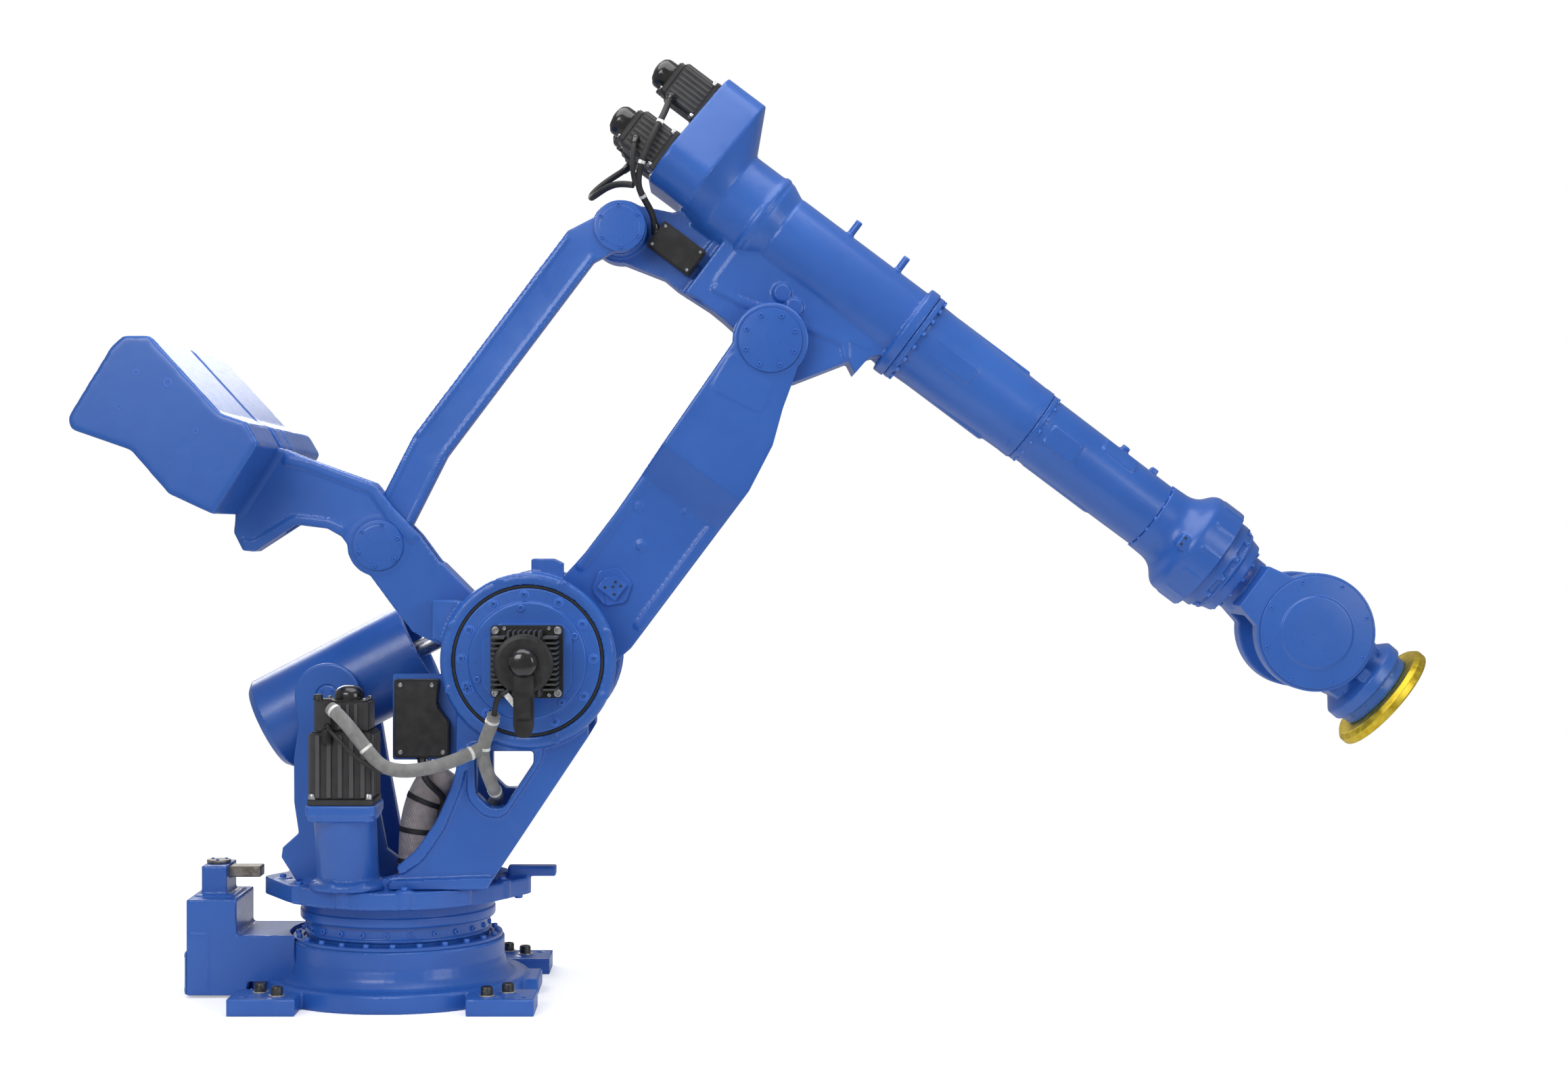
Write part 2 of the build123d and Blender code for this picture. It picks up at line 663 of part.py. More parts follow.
def drive_flange(sign):
    """Fixed gear flange of a shoulder drive, stepped towards its motor."""
    outer = sign * FRAME_OUTER
    with BuildPart() as flange:
        with BuildSketch(side(outer, SHOULDER_X, SHOULDER_Z)):
            Circle(DRIVE_RADIUS)
        extrude(amount=-sign * HUB_RING)
        with BuildSketch(side(outer + sign * HUB_RING, SHOULDER_X, SHOULDER_Z)):
            Circle(DRIVE_FACE)
        extrude(amount=-sign * DRIVE_STEP)
        with BuildSketch(side(outer + sign * (HUB_RING + DRIVE_STEP), SHOULDER_X, SHOULDER_Z)):
            square = Rectangle(2 * DRIVE_PLATE_HALF, 2 * DRIVE_PLATE_HALF)
            chamfer(square.vertices(), DRIVE_PLATE_HALF / 3)
        extrude(amount=-sign * DRIVE_STEP)
        with BuildSketch(side(outer, SHOULDER_X, SHOULDER_Z)):
            Circle(DRIVE_BORE - PIN_CLEARANCE)
        extrude(amount=sign * (FRAME_THICKNESS + RUNNING_GAP))
    return flange


def shoulder_motor(sign):
    """Servo motor square to the drive flange, with its plug box hanging from the cap."""
    start = sign * (FRAME_OUTER + HUB_RING + 2 * DRIVE_STEP)
    with BuildPart() as motor:
        with BuildSketch(side(start, SHOULDER_X, SHOULDER_Z)):
            square = Rectangle(2 * MOTOR_HALF, 2 * MOTOR_HALF)
            chamfer(square.vertices(), MOTOR_HALF / 5)
        extrude(amount=-sign * MOTOR_BASE)
        with BuildSketch(side(start + sign * MOTOR_BASE, SHOULDER_X, SHOULDER_Z)):
            Circle(MOTOR_BODY_RADIUS)
        extrude(amount=-sign * (MOTOR_LENGTH - MOTOR_BASE - MOTOR_CAP))
        cap_plane = side(start + sign * (MOTOR_LENGTH - MOTOR_CAP), SHOULDER_X, SHOULDER_Z)
        with BuildSketch(cap_plane):
            Circle(MOTOR_CAP_RADIUS)
        extrude(amount=-sign * MOTOR_CAP)
        with BuildSketch(cap_plane):
            with Locations((0, -PLUG_DROP)):
                RectangleRounded(PLUG_WIDTH, PLUG_HEIGHT, PLUG_CORNER)
        extrude(amount=-sign * PLUG_DEPTH)
    return motor


near_drive = drive_flange(-1)
save(near_drive, "near_drive")
far_drive = drive_flange(1)
save(far_drive, "far_drive")
near_motor = shoulder_motor(-1)
save(near_motor, "near_motor")
far_motor = shoulder_motor(1)
save(far_motor, "far_motor")

with BuildPart() as slew_motor_bracket:
    with BuildSketch(Plane.XY.offset(SLEW_BRACKET_Z)):
        with Locations((SLEW_MOTOR_X, SLEW_MOTOR_Y)):
            bracket_side = 2 * (SLEW_MOTOR_HALF + SLEW_BRACKET_MARGIN)
            RectangleRounded(bracket_side, bracket_side, SLEW_BRACKET_CORNER)
    extrude(amount=SLEW_BRACKET_PLATE)
    with BuildSketch(Plane.XY.offset(TABLE_TOP)):
        with Locations((SLEW_MOTOR_X, SLEW_FOOT_Y)):
            Circle(SLEW_FOOT_RADIUS)
    with BuildSketch(Plane.XY.offset(SLEW_BRACKET_Z)):
        with Locations((SLEW_MOTOR_X, SLEW_MOTOR_Y)):
            Circle(SLEW_FOOT_RADIUS)
    loft()
save(slew_motor_bracket, "slew_motor_bracket")

with BuildPart() as slew_motor:
    base = SLEW_BRACKET_Z + SLEW_BRACKET_PLATE
    with BuildSketch(Plane.XY.offset(base)):
        with Locations((SLEW_MOTOR_X, SLEW_MOTOR_Y)):
            RectangleRounded(2 * SLEW_MOTOR_HALF, 2 * SLEW_MOTOR_HALF, SLEW_CORNER)
    extrude(amount=SLEW_MOTOR_BASE)
    with BuildSketch(Plane.XY.offset(base + SLEW_MOTOR_BASE)):
        with Locations((SLEW_MOTOR_X, SLEW_MOTOR_Y)):
            body_side = 2 * (SLEW_MOTOR_HALF - SLEW_MOTOR_STEP)
            square = Rectangle(body_side, body_side)
            chamfer(square.vertices(), SLEW_MOTOR_CHAMFER)
    extrude(amount=SLEW_MOTOR_TOP - base - SLEW_MOTOR_BASE)
    with BuildSketch(Plane.XY.offset(SLEW_MOTOR_TOP)):
        with Locations((SLEW_MOTOR_X, SLEW_MOTOR_Y)):
            square = Rectangle(2 * SLEW_MOTOR_CAP_HALF, 2 * SLEW_MOTOR_CAP_HALF)
            chamfer(square.vertices(), SLEW_CAP_CHAMFER)
    extrude(amount=SLEW_MOTOR_CAP - SLEW_MOTOR_TOP)
    with BuildSketch(Plane.XY.offset(SLEW_MOTOR_CAP)):
        with Locations((SLEW_MOTOR_X, SLEW_MOTOR_Y)):
            Circle(SLEW_MOTOR_DOME)
    extrude(amount=SLEW_MOTOR_DOME_TOP - SLEW_MOTOR_CAP, taper=DOME_TAPER)
    # Plug housing on the near face
    with BuildSketch(Plane.XY.offset(SLEW_MOTOR_CAP - SLEW_PLUG_HEIGHT)):
        with Locations((SLEW_MOTOR_X - SLEW_MOTOR_CAP_HALF + SLEW_PLUG_WIDTH / 2,
                        SLEW_MOTOR_Y - SLEW_MOTOR_CAP_HALF - SLEW_PLUG_DEPTH / 2)):
            Rectangle(SLEW_PLUG_WIDTH, SLEW_PLUG_DEPTH)
    extrude(amount=SLEW_PLUG_HEIGHT)
save(slew_motor, "slew_motor")

with BuildPart() as junction_plate:
    with BuildSketch(side(-FRAME_INNER + JUNCTION_PLATE_THICKNESS)):
        with BuildLine():
            Polyline(*JUNCTION_PLATE, close=True)
        make_face()
    extrude(amount=JUNCTION_PLATE_THICKNESS)
save(junction_plate, "junction_plate")

with BuildPart() as junction_box:
    with BuildSketch(side(-FRAME_INNER)):
        with BuildLine():
            Polyline(*JUNCTION_BOX, close=True)
        make_face()
    extrude(amount=JUNCTION_BOX_DEPTH)
save(junction_box, "junction_box")

# Balancer

with BuildPart() as balancer_barrel:
    with BuildSketch(side(BALANCER_Y, TRUNNION_X, TRUNNION_Z, BALANCER_TILT)):
        with BuildLine():
            Polyline(
                (-BALANCER_REAR, 0), (-BALANCER_REAR, BALANCER_RADIUS - BALANCER_EDGE),
                (-BALANCER_REAR + BALANCER_EDGE, BALANCER_RADIUS),
                (BALANCER_FRONT, BALANCER_RADIUS), (BALANCER_FRONT, BALANCER_RADIUS - BALANCER_WALL),
                (-BALANCER_REAR + BALANCER_WALL, BALANCER_RADIUS - BALANCER_WALL),
                (-BALANCER_REAR + BALANCER_WALL, 0), close=True,
            )
        make_face()
    balancer_plane = side(BALANCER_Y, TRUNNION_X, TRUNNION_Z, BALANCER_TILT)
    revolve(axis=Axis(tuple(balancer_plane.origin), tuple(balancer_plane.x_dir)))
    with BuildSketch(side(NEAR_LEG_OUTER, TRUNNION_X, TRUNNION_Z)):
        Circle(TRUNNION_RADIUS)
    extrude(amount=-(BALANCER_Y - BALANCER_RADIUS - NEAR_LEG_OUTER + BALANCER_WALL))
    with BuildSketch(side(FRAME_OUTER, TRUNNION_X, TRUNNION_Z)):
        Circle(TRUNNION_RADIUS)
    extrude(amount=FRAME_OUTER - BALANCER_Y - BALANCER_RADIUS + BALANCER_WALL)
save(balancer_barrel, "balancer_barrel")

with BuildPart() as balancer_rod:
    rod_plane = side(BALANCER_Y, ROD_PIN_X, ROD_PIN_Z, BALANCER_TILT)
    with BuildSketch(Plane(rod_plane.origin, x_dir=(0, 1, 0), z_dir=rod_plane.x_dir)):
        Circle(ROD_RADIUS)
    extrude(amount=-ROD_LENGTH)
    with BuildSketch(side(BALANCER_Y + ROD_EYE_WIDTH / 2, ROD_PIN_X, ROD_PIN_Z)):
        Circle(ROD_EYE_RADIUS)
    extrude(amount=ROD_EYE_WIDTH)
    with BuildSketch(side(BALANCER_Y + ROD_EYE_WIDTH / 2, ROD_PIN_X, ROD_PIN_Z)):
        Circle(ROD_PIN_RADIUS + PIN_CLEARANCE)
    extrude(amount=ROD_EYE_WIDTH, mode=Mode.SUBTRACT)
save(balancer_rod, "balancer_rod")

# Lever, counterweight and link

def link_fold():
    """Space between the lever plates that the link bar takes with the lower arm fully back."""
    with BuildPart() as space:
        with BuildSketch(side(LINK_SLOT_FAR, LINK_LOW_X, LINK_LOW_Z, ARM_BACK)):
            with BuildLine():
                Polyline(*LINK_KNEES)
            trace(line_width=LINK_WIDTH + 2 * LINK_FOLD_GAP)
        extrude(amount=LINK_SLOT_FAR - LINK_SLOT_NEAR)
    return space.part


with BuildPart() as lever:
    # Hub on the shoulder axis
    with BuildSketch(side(LEVER_FAR, SHOULDER_X, SHOULDER_Z)):
        Circle(LEVER_HUB_RADIUS)
    extrude(amount=LEVER_FAR - LEVER_NEAR)
    with BuildSketch(side(LEVER_NEAR, SHOULDER_X, SHOULDER_Z)):
        Circle(BOSS_RADIUS)
    extrude(amount=FRAME_INNER + LEVER_NEAR - RUNNING_GAP)
    # Near plate and far plate
    for far_face, thickness in ((LEVER_NEAR + LEVER_PLATE, LEVER_PLATE), (LEVER_FAR, LEVER_FAR_PLATE)):
        with BuildSketch(side(far_face, LINK_LOW_X, LINK_LOW_Z)):
            with BuildLine():
                Polyline(WEIGHT_SEAT_UPPER, *LEVER_OUTLINE, WEIGHT_SEAT_LOWER, close=True)
            make_face()
            Circle(LEVER_PIN_BOSS)
        extrude(amount=thickness)
    # Web between the plates, clear of the link
    with BuildSketch(side(LEVER_FAR, LINK_LOW_X, LINK_LOW_Z)):
        with BuildLine():
            Polyline(*LEVER_FRONT_WEB, close=True)
        make_face()
        with BuildLine():
            Polyline(WEIGHT_SEAT_UPPER, *LEVER_REAR_WEB, WEIGHT_SEAT_LOWER, close=True)
        make_face()
    extrude(amount=LEVER_FAR - LEVER_NEAR)
    add(link_fold(), mode=Mode.SUBTRACT)
    with BuildSketch(side(LEVER_FAR, LINK_LOW_X, LINK_LOW_Z)):
        Circle(LINK_PIN_RADIUS + PIN_CLEARANCE)
    extrude(amount=LEVER_FAR - LEVER_NEAR, mode=Mode.SUBTRACT)
save(lever, "lever")


def counterweight(sign):
    """One block of the counterweight, with the inner pad that meets the other block."""
    with BuildPart() as block:
        with BuildSketch(side(sign * WEIGHT_GROOVE / 2, LINK_LOW_X, LINK_LOW_Z)) as outline:
            with BuildLine():
                Polyline(*WEIGHT_UPPER, WEIGHT_SEAT_UPPER, WEIGHT_SEAT_LOWER, *WEIGHT_LOWER, close=True)
            make_face()
        extrude(amount=-sign * (WEIGHT_HALF - WEIGHT_GROOVE / 2))
        with BuildSketch(side(sign * WEIGHT_GROOVE / 2, LINK_LOW_X, LINK_LOW_Z)):
            add(outline.sketch_local)
            offset(amount=-WEIGHT_REBATE, mode=Mode.REPLACE)
        extrude(amount=sign * WEIGHT_GROOVE / 2)
        if sign < 0:
            add(link_fold(), mode=Mode.SUBTRACT)
    return block


near_weight = counterweight(-1)
save(near_weight, "near_weight")
far_weight = counterweight(1)
save(far_weight, "far_weight")

with BuildPart() as link_pin:
    with BuildSketch(side(LEVER_FAR, LINK_LOW_X, LINK_LOW_Z)):
        Circle(LINK_PIN_RADIUS)
    extrude(amount=LEVER_FAR - LEVER_NEAR + RUNNING_GAP)
    with BuildSketch(side(LEVER_NEAR - RUNNING_GAP, LINK_LOW_X, LINK_LOW_Z)):
        Circle(LINK_PIN_CAP)
    extrude(amount=CAP_THICKNESS)
save(link_pin, "link_pin")

link_top = (ELBOW_X - SHOULDER_X, ELBOW_Z - SHOULDER_Z)

with BuildPart() as link_bar:
    with BuildSketch(side(LINK_NEAR + LINK_THICKNESS, LINK_LOW_X, LINK_LOW_Z)):
        with BuildLine() as bar_line:
            Polyline(*LINK_KNEES, link_top)
        trace(line_width=LINK_WIDTH)
        with Locations((0, 0)):
            Circle(LINK_WIDTH / 2)
        with Locations(link_top):
            Circle(LINK_END_RADIUS)
            Circle(LINK_PIN_RADIUS + PIN_CLEARANCE, mode=Mode.SUBTRACT)
        Circle(LINK_PIN_RADIUS + PIN_CLEARANCE, mode=Mode.SUBTRACT)
    extrude(amount=LINK_THICKNESS)
save(link_bar, "link_bar")

# Lower arm

with BuildPart() as lower_arm:
    # Hub on the shoulder axis, open in the middle for the rod eye
    with BuildSketch(side(FRAME_INNER - SIDE_GAP, SHOULDER_X, SHOULDER_Z)):
        Circle(ARM_HUB_RADIUS)
    extrude(amount=FRAME_INNER - SIDE_GAP - ARM_NEAR)
    with BuildSketch(side(FRAME_INNER - RUNNING_GAP, SHOULDER_X, SHOULDER_Z)):
        Circle(BOSS_RADIUS)
    extrude(amount=SIDE_GAP)
    # Long body
    with BuildSketch(arm(FORK_OUTER)):
        with BuildLine():
            Polyline(*ARM_OUTLINE, close=True)
        make_face()
        with Locations((ARM_LENGTH, 0)):
            Circle(ELBOW_RADIUS)
    extrude(amount=2 * FORK_OUTER)
    # Set back on the near side, where the lever passes
    with BuildSketch(Plane(arm(0).origin, x_dir=arm(0).x_dir, z_dir=arm(0).y_dir)):
        with BuildLine():
            Polyline(
                (ARM_TAIL, ARM_NEAR), (ARM_STEP_START, ARM_NEAR), (ARM_STEP_END, -FORK_OUTER),
                (ARM_STEP_END, -2 * FORK_OUTER), (ARM_TAIL, -2 * FORK_OUTER), close=True,
            )
        make_face()
    extrude(amount=2 * ARM_HUB_RADIUS, both=True, mode=Mode.SUBTRACT)
    # Fork for the forearm
    with BuildSketch(arm(FORK_INNER)):
        with Locations((ARM_LENGTH, 0)):
            Circle(FORK_DEPTH)
    extrude(amount=2 * FORK_INNER, mode=Mode.SUBTRACT)
    with BuildSketch(arm(FORK_OUTER)):
        with Locations((ARM_LENGTH, 0)):
            Circle(ELBOW_PIN_RADIUS + PIN_CLEARANCE)
    extrude(amount=2 * FORK_OUTER, mode=Mode.SUBTRACT)
    # Gap for the rod eye, and for the rod with the arm fully forward
    rod_turn = BALANCER_TILT + 180 + (1 + BALANCER_RATIO) * ARM_FORWARD
    with BuildSketch(side(BALANCER_Y + ROD_EYE_WIDTH / 2 + EYE_GAP, ROD_PIN_X, ROD_PIN_Z)):
        Circle(EYE_POCKET_RADIUS)
    extrude(amount=ROD_EYE_WIDTH + 2 * EYE_GAP, mode=Mode.SUBTRACT)
    with BuildSketch(side(BALANCER_Y + ROD_EYE_WIDTH / 2 + EYE_GAP, ROD_PIN_X, ROD_PIN_Z, rod_turn)):
        with Locations((ROD_RELIEF_LENGTH / 2, ROD_RADIUS + SIDE_GAP - ROD_RELIEF_WIDTH / 2)):
            Rectangle(ROD_RELIEF_LENGTH, ROD_RELIEF_WIDTH)
    extrude(amount=ROD_EYE_WIDTH + 2 * EYE_GAP, mode=Mode.SUBTRACT)
    # Lugs that hold the rod pin
    eye_half = ROD_EYE_WIDTH / 2 + EYE_GAP
    for lug_far in (BALANCER_Y + eye_half + LUG_PLATE, BALANCER_Y - eye_half):
        with BuildSketch(side(lug_far)):
            with Locations((SHOULDER_X, SHOULDER_Z)):
                Circle(ARM_HUB_RADIUS - SIDE_GAP)
            with Locations((ROD_PIN_X, ROD_PIN_Z)):
                Circle(LUG_RADIUS)
            make_hull()
        extrude(amount=LUG_PLATE)
save(lower_arm, "lower_arm")

with BuildPart() as rod_pin:
    with BuildSketch(side(BALANCER_Y + ROD_EYE_WIDTH / 2 + EYE_GAP, ROD_PIN_X, ROD_PIN_Z)):
        Circle(ROD_PIN_RADIUS)
    extrude(amount=ROD_EYE_WIDTH + 2 * EYE_GAP)
save(rod_pin, "rod_pin")

with BuildPart() as arm_bracket:
    with BuildSketch(arm(ARM_NEAR)):
        with Locations(ARM_BRACKET_PLACE):
            RegularPolygon(ARM_BRACKET_RADIUS, 6)
    extrude(amount=ARM_BRACKET_HEIGHT)
save(arm_bracket, "arm_bracket")


def elbow_cap(y_far):
    with BuildPart() as cap:
        with BuildSketch(arm(y_far)):
            with Locations((ARM_LENGTH, 0)):
                Circle(ELBOW_CAP_RADIUS)
        extrude(amount=CAP_THICKNESS)
    return cap


near_elbow_cap = elbow_cap(-FORK_OUTER)
save(near_elbow_cap, "near_elbow_cap")
far_elbow_cap = elbow_cap(FORK_OUTER + CAP_THICKNESS)
save(far_elbow_cap, "far_elbow_cap")

with BuildPart() as elbow_pin:
    with BuildSketch(arm(FORK_OUTER - RUNNING_GAP)):
        with Locations((ARM_LENGTH, 0)):
            Circle(ELBOW_PIN_RADIUS)
    extrude(amount=2 * (FORK_OUTER - RUNNING_GAP))
save(elbow_pin, "elbow_pin")

# Forearm


def ring_of(start, end, radius_start, radius_end):
    """Solid of revolution about the forearm axis between two stations."""
    with BuildPart() as turned:
        with BuildSketch(forearm(0)):
            with BuildLine():
                Polyline(
                    (start, AXIS_RISE), (start, AXIS_RISE + radius_start), (end, AXIS_RISE + radius_end),
                    (end, AXIS_RISE), close=True,
                )
            make_face()
        revolve(axis=FOREARM_AXIS)
    return turned.part


with BuildPart() as forearm_casting:
    add(ring_of(COLLAR_START, COLLAR_END, TUBE_RADIUS, TUBE_RADIUS))
    add(ring_of(COLLAR_END, NECK_START, TUBE_RADIUS, NECK_RADIUS - NECK_STEP))
    add(ring_of(NECK_START, FRONT_FLANGE_START, NECK_RADIUS, NECK_RADIUS))
    add(ring_of(FRONT_FLANGE_START, FRONT_FLANGE_END, FRONT_FLANGE_RADIUS, FRONT_FLANGE_RADIUS))
    # Keel around the elbow
    with BuildSketch(forearm(CASTING_HALF)):
        with BuildLine():
            Polyline(*KEEL_OUTLINE, close=True)
        make_face()
    extrude(amount=2 * CASTING_HALF)
    # Rear ear
    with BuildSketch(forearm(EAR_HALF)):
        with BuildLine():
            Polyline(*EAR_OUTLINE, close=True)
        make_face()
        with Locations((-CRANK_LENGTH, 0)):
            Circle(EAR_RADIUS)
    extrude(amount=2 * EAR_HALF)
    with BuildSketch(forearm(-EAR_HALF)):
        with Locations((-CRANK_LENGTH, 0)):
            Circle(EAR_BOSS_RADIUS)
    extrude(amount=-EAR_NEAR - EAR_HALF)
    # Motor housing
    with BuildSketch(forearm_across(HOUSING_FRONT)) as housing_outline:
        with Locations((-LOWER_MOTOR_SIDE, LOWER_MOTOR_DROP), (LOWER_MOTOR_SIDE, LOWER_MOTOR_DROP)):
            Circle(LOWER_BOSS_RADIUS)
        with Locations((0, UPPER_MOTOR_RISE)):
            Circle(UPPER_BOSS_RADIUS)
        make_hull()
    extrude(amount=HOUSING_FRONT - MOTOR_FACE)
    with BuildSketch(forearm_across(HOUSING_FRONT)):
        add(housing_outline.sketch_local)
    with BuildSketch(forearm_across(HOUSING_NOSE)):
        Circle(TUBE_RADIUS)
    loft()
    # Two posts on the upper side
    for station in POST_STATIONS:
        foot = forearm(0).from_local_coords((station, POST_TOP, 0))
        with BuildSketch(Plane(foot, x_dir=(0, 1, 0), z_dir=forearm(0).y_dir)):
            Circle(POST_RADIUS)
        extrude(amount=-(POST_TOP - AXIS_RISE - NECK_RADIUS / 2))
    with BuildSketch(forearm(CASTING_HALF)):
        Circle(ELBOW_PIN_RADIUS + PIN_CLEARANCE)
    extrude(amount=2 * CASTING_HALF, mode=Mode.SUBTRACT)
save(forearm_casting, "forearm_casting")

with BuildPart() as link_cap:
    with BuildSketch(forearm(EAR_NEAR)):
        with Locations((-CRANK_LENGTH, 0)):
            Circle(LINK_PIN_RADIUS)
    extrude(amount=EAR_NEAR - LINK_NEAR + RUNNING_GAP)
    with BuildSketch(forearm(LINK_NEAR - RUNNING_GAP)):
        with Locations((-CRANK_LENGTH, 0)):
            Circle(LINK_END_RADIUS)
    extrude(amount=CAP_THICKNESS)
save(link_cap, "link_cap")


def wrist_motor(side_shift, rise):
    """Servo motor behind the motor housing, its axis along the forearm."""
    with BuildPart() as motor:
        with BuildSketch(forearm_across(MOTOR_FACE)):
            with Locations((side_shift, rise)):
                RectangleRounded(2 * WRIST_MOTOR_HALF, 2 * WRIST_MOTOR_HALF, WRIST_MOTOR_CORNER)
        extrude(amount=WRIST_MOTOR_BASE)
        with BuildSketch(forearm_across(MOTOR_FACE - WRIST_MOTOR_BASE)):
            with Locations((side_shift, rise)):
                body_side = 2 * (WRIST_MOTOR_HALF - WRIST_MOTOR_STEP)
                square = Rectangle(body_side, body_side)
                chamfer(square.vertices(), WRIST_MOTOR_CHAMFER)
        extrude(amount=WRIST_MOTOR_LENGTH - WRIST_MOTOR_BASE - WRIST_MOTOR_CAP)
        with BuildSketch(forearm_across(MOTOR_FACE - WRIST_MOTOR_LENGTH + WRIST_MOTOR_CAP)):
            with Locations((side_shift, rise)):
                Circle(WRIST_CAP_RADIUS)
        extrude(amount=WRIST_MOTOR_CAP)
    return motor


near_wrist_motor = wrist_motor(LOWER_MOTOR_SIDE, LOWER_MOTOR_DROP)
save(near_wrist_motor, "near_wrist_motor")
far_wrist_motor = wrist_motor(-LOWER_MOTOR_SIDE, LOWER_MOTOR_DROP)
save(far_wrist_motor, "far_wrist_motor")
upper_wrist_motor = wrist_motor(0, UPPER_MOTOR_RISE)
save(upper_wrist_motor, "upper_wrist_motor")

with BuildPart() as forearm_box:
    with BuildSketch(forearm(-EAR_HALF)):
        with Locations(FOREARM_BOX_CENTRE):
            Rectangle(*FOREARM_BOX_SIZE)
    extrude(amount=FOREARM_BOX_DEPTH)
save(forearm_box, "forearm_box")

with BuildPart() as first_tube:
    collar, collar_radius = FIRST_COLLAR
    ring, ring_radius = FIRST_TUBE_RING
    add(ring_of(FRONT_FLANGE_END, FRONT_FLANGE_END + collar, collar_radius, collar_radius))
    add(ring_of(FRONT_FLANGE_END + collar, FIRST_TUBE_END - ring, *FIRST_TUBE_RADII))
    add(ring_of(FIRST_TUBE_END - ring, FIRST_TUBE_END, ring_radius, ring_radius))
save(first_tube, "first_tube")

with BuildPart() as second_tube:
    collar, collar_radius = SECOND_COLLAR
    add(ring_of(FIRST_TUBE_END, FIRST_TUBE_END + collar, collar_radius, collar_radius))
    add(ring_of(FIRST_TUBE_END + collar, SECOND_TUBE_END, *SECOND_TUBE_RADII))
save(second_tube, "second_tube")

with BuildPart() as wrist_bulb:
    with BuildSketch(forearm(0)):
        with BuildLine():
            flare = [(along, AXIS_RISE + radius) for along, radius in BULB_CURVE]
            Polyline((SECOND_TUBE_END, AXIS_RISE), (SECOND_TUBE_END, AXIS_RISE + BULB_NECK_RADIUS), flare[0])
            Spline(*flare, tangents=((1, 0.05), (1, 0.15)))
            Polyline(
                flare[-1], (BULB_END, AXIS_RISE + BULB_RADIUS), (BULB_END, AXIS_RISE),
                (SECOND_TUBE_END, AXIS_RISE),
            )
        make_face()
    revolve(axis=FOREARM_AXIS)
save(wrist_bulb, "wrist_bulb")

# Wrist

with BuildPart() as roll_housing:
    add(ring_of(BULB_END + RUNNING_GAP, ROLL_RING_END, ROLL_RING_RADIUS, ROLL_RING_RADIUS))
    add(ring_of(ROLL_RING_END, ROLL_CONE_END, *ROLL_CONE_RADII))
    add(ring_of(ROLL_CONE_END, ROLL_NECK_END, *ROLL_NECK_RADII))
    # Yoke
    with BuildSketch(forearm(DRUM_OUTER)):
        with BuildLine():
            Polyline(
                (YOKE_START, AXIS_RISE - YOKE_HALF[0]), (WRIST_REACH, AXIS_RISE - YOKE_HALF[1]),
                (WRIST_REACH, AXIS_RISE + YOKE_HALF[1]), (YOKE_START, AXIS_RISE + YOKE_HALF[0]), close=True,
            )
        make_face()
        with Locations((WRIST_REACH, AXIS_RISE)):
            Circle(DRUM_RADIUS)
    extrude(amount=2 * DRUM_OUTER)
    with BuildSketch(forearm(DRUM_INNER)):
        with Locations((WRIST_REACH, AXIS_RISE)):
            Circle(WRIST_SLOT)
    extrude(amount=2 * DRUM_INNER, mode=Mode.SUBTRACT)
save(roll_housing, "roll_housing")


def wrist_cover(sign):
    """Raised round cover on one side of the wrist drum, with a disc on it."""
    with BuildPart() as cover:
        with BuildSketch(forearm(sign * DRUM_OUTER)):
            with Locations((WRIST_REACH, AXIS_RISE)):
                Circle(WRIST_COVER_RADIUS)
        extrude(amount=-sign * WRIST_COVER_STEP)
        with BuildSketch(forearm(sign * (DRUM_OUTER + WRIST_COVER_STEP))):
            with Locations((WRIST_REACH, AXIS_RISE)):
                Circle(DRUM_DISC_RADIUS)
        extrude(amount=-sign * WRIST_COVER_STEP)
    return cover


near_wrist_cover = wrist_cover(-1)
save(near_wrist_cover, "near_wrist_cover")
far_wrist_cover = wrist_cover(1)
save(far_wrist_cover, "far_wrist_cover")

FLANGE_BACK = FLANGE_REACH - TOOL_FLANGE_THICKNESS - RUNNING_GAP

with BuildPart() as bend_housing:
    with BuildSketch(wrist(DRUM_INNER - EYE_GAP)):
        Circle(BEND_CORE_RADIUS)
        with BuildLine():
            Polyline(
                (0, BEND_CORE_RADIUS), (BEND_BODY_START + SIDE_GAP, BEND_CORE_END),
                (BEND_BODY_START + SIDE_GAP, -BEND_CORE_END), (0, -BEND_CORE_RADIUS), close=True,
            )
        make_face()
    extrude(amount=2 * (DRUM_INNER - EYE_GAP))
    with BuildSketch(side(DRUM_INNER - RUNNING_GAP, wrist(0).origin.X, wrist(0).origin.Z)):
        Circle(BEND_HUB_RADIUS)
    extrude(amount=2 * (DRUM_INNER - RUNNING_GAP))
    with BuildSketch(wrist(0)):
        with BuildLine():
            Polyline(
                (BEND_BODY_START, 0), (BEND_BODY_START, BEND_BODY_NOSE), (BEND_BODY_FULL, BEND_BODY_RADIUS),
                (FLANGE_BACK - BEND_RING_LENGTH, BEND_BODY_RADIUS), (FLANGE_BACK - BEND_RING_LENGTH, BEND_RING_RADIUS),
                (FLANGE_BACK, BEND_RING_RADIUS), (FLANGE_BACK, 0), close=True,
            )
        make_face()
    revolve(axis=TOOL_AXIS)
save(bend_housing, "bend_housing")

